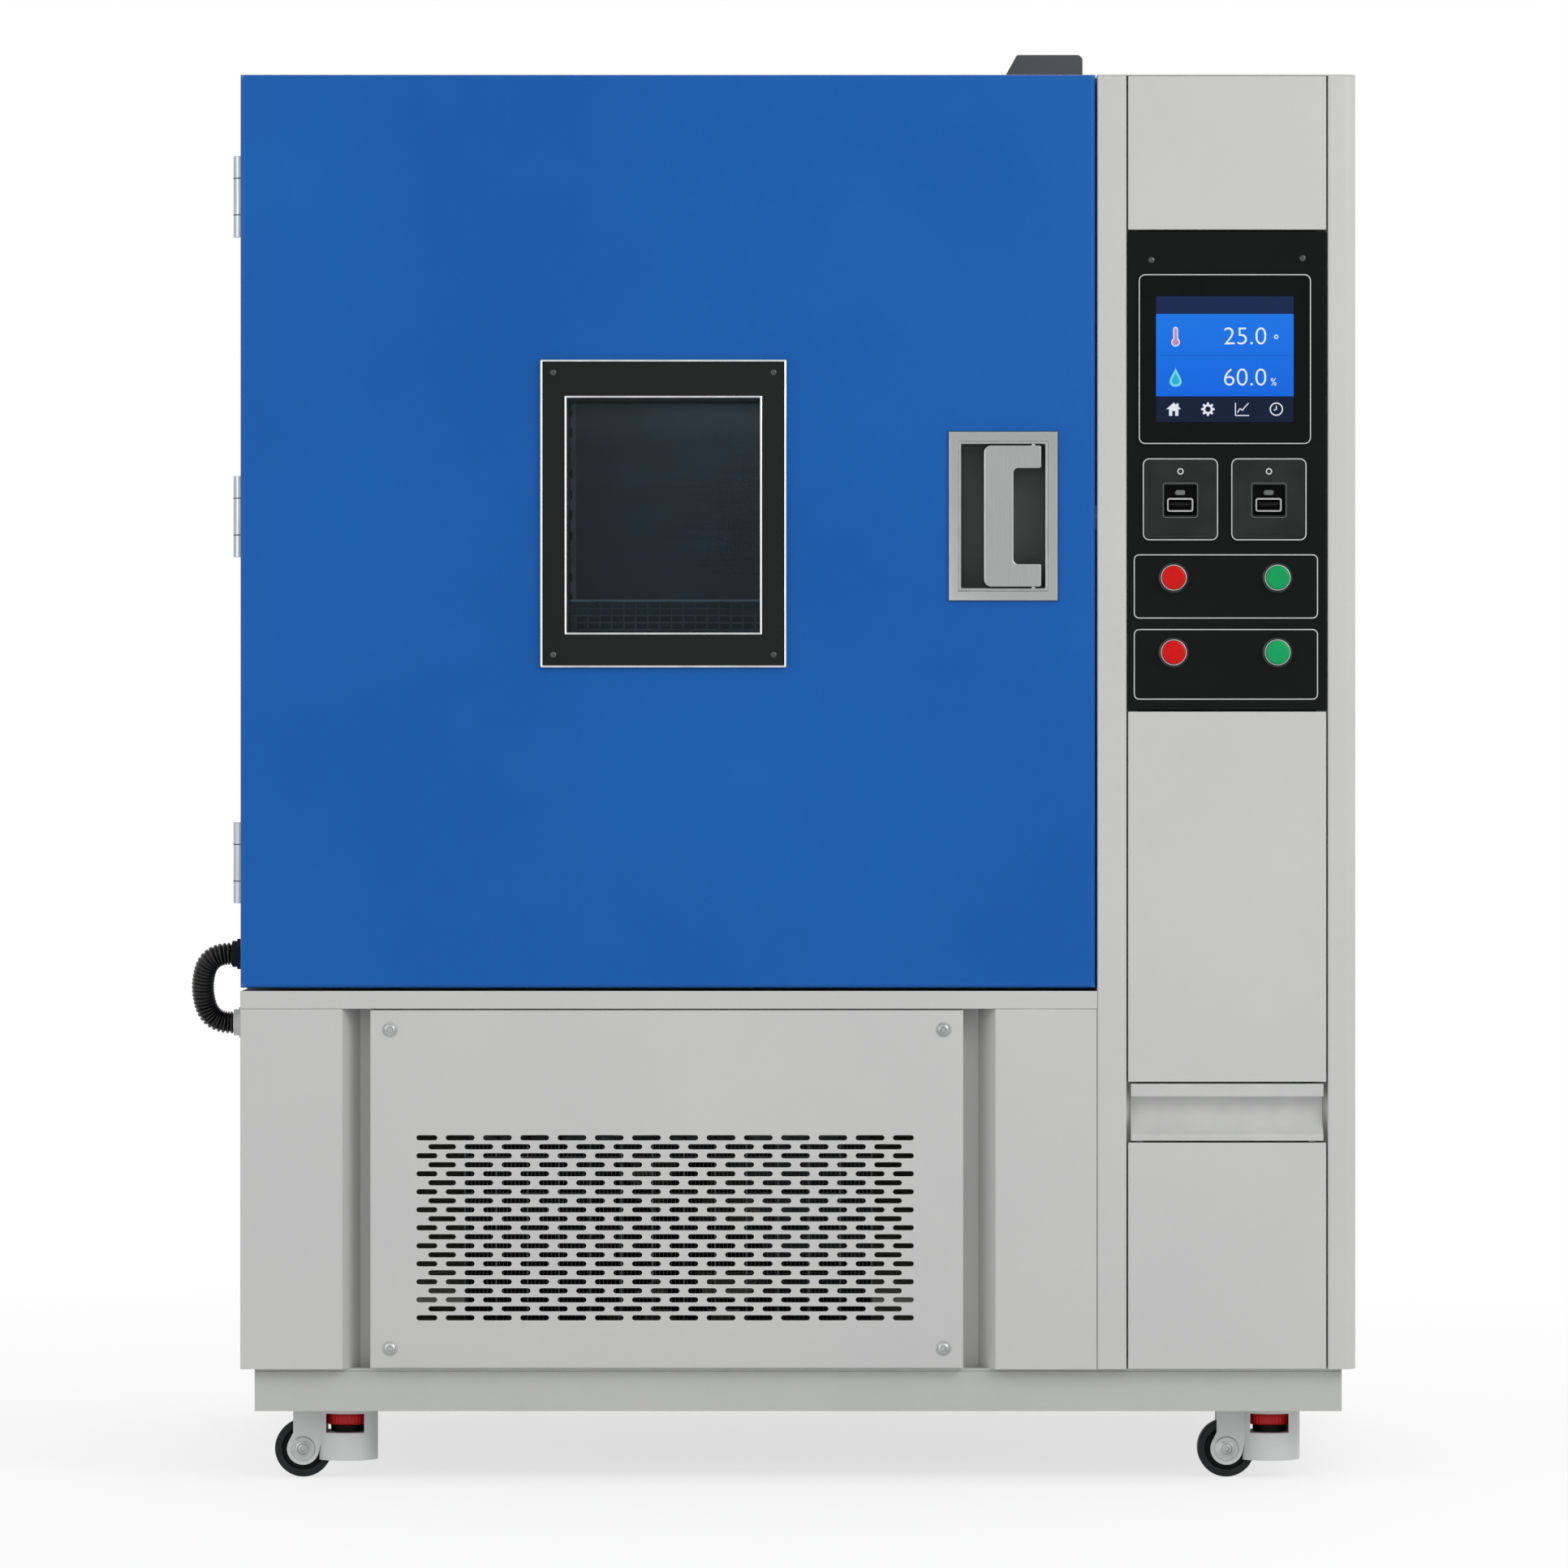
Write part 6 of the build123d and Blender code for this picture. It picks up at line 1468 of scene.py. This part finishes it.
def dress(thing, material):
    """Puts one material on every slot of an object."""
    thing.data.materials.clear()
    thing.data.materials.append(material)


for name, nodes in NODE_FINISH.items():
    for node in nodes:
        dress(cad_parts[node], FINISHES[name])
for name, pieces in PIECE_FINISH.items():
    for piece in pieces:
        dress(bpy.data.objects[piece], FINISHES[name])
finished = {node for nodes in NODE_FINISH.values() for node in nodes}
print("nodes without a finish:", [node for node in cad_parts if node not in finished])

# %% [markdown]
# ## Floor and light
# The studio is white. The floor is pale near the cabinet, where it keeps the shadow, and turns
# into the white of the background further off, so that no horizon shows. Three large lamps and an
# even white surrounding light the cabinet at a level where paint renders about as it is written.
# A small weak lamp at the chamber's ceiling lights the shelves, as the chamber's own light does.
# %% Floor
FLOOR_HALF = 14.0
floor_mesh = bpy.data.meshes.new("floor")
floor_mesh.from_pydata([(-FLOOR_HALF, -FLOOR_HALF, 0), (FLOOR_HALF, -FLOOR_HALF, 0),
                        (FLOOR_HALF, FLOOR_HALF, 0), (-FLOOR_HALF, FLOOR_HALF, 0)], [],
                       [(0, 1, 2, 3)])
floor = bpy.data.objects.new("floor", floor_mesh)
bpy.context.scene.collection.objects.link(floor)
floor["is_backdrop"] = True
floor_material, tree, principled = new_material("floor")
place = object_place(tree)
far = add(tree, "VectorMath", {0: place}, operation="LENGTH").outputs["Value"]
tone = noise(tree, place, 3.0, 4.0)
tree.links.new(mix(tree, spread(tree, tone, 0.3, 0.7, 0.0, 0.5), srgb(248, 248, 248),
                   srgb(246, 246, 246)), principled.inputs["Base Color"])
principled.inputs["Roughness"].default_value = 0.7
white = add(tree, "Emission", {"Color": (1, 1, 1, 1), "Strength": 1.0})
whiter = maths(tree, "MULTIPLY", spread(tree, far, 0.5, 3.0, 0.7, 1.0), watched(tree))
blend_out = add(tree, "MixShader", {0: whiter, 1: principled.outputs[0], 2: white.outputs[0]})
tree.links.new(blend_out.outputs[0], tree.nodes["Material Output"].inputs["Surface"])
floor_mesh.materials.append(floor_material)
print("floor", 2 * FLOOR_HALF, "m")

# %% World and lamps
AMBIENT = 0.66
world = bpy.data.worlds.new("studio")
bpy.context.scene.world = world
world.use_nodes = True
tree = world.node_tree
background = tree.nodes["Background"]
background.inputs["Color"].default_value = (1, 1, 1, 1)
tree.links.new(spread(tree, watched(tree), 0.0, 1.0, AMBIENT, 1.0), background.inputs["Strength"])


def lamp(name, place, target, size, power):
    """A soft square lamp at place that faces target; power in watts."""
    data = bpy.data.lights.new(name, "AREA")
    data.shape = "SQUARE"
    data.size = size
    data.energy = power
    light = bpy.data.objects.new(name, data)
    light.location = place
    way = np.array(target, float) - np.array(place, float)
    flat = np.hypot(way[0], way[1])
    light.rotation_euler = (np.arctan2(flat, -way[2]), 0, np.arctan2(way[1], way[0]) - np.pi / 2)
    bpy.context.scene.collection.objects.link(light)


middle = (cad_low + cad_high) / 2
lamp("key", (2.9, -3.3, 2.9), middle, 2.2, 64.0)
lamp("fill", (-3.0, -3.0, 1.8), middle, 2.4, 24.0)
lamp("back", (0.6, 3.4, 3.0), middle, 2.0, 30.0)
lamp("chamber", (-0.1, -0.385, 1.43), (-0.2, -0.2, 0.9), 0.12, 0.9)
bpy.context.scene.view_settings.view_transform = "Standard"
print("lamps set")
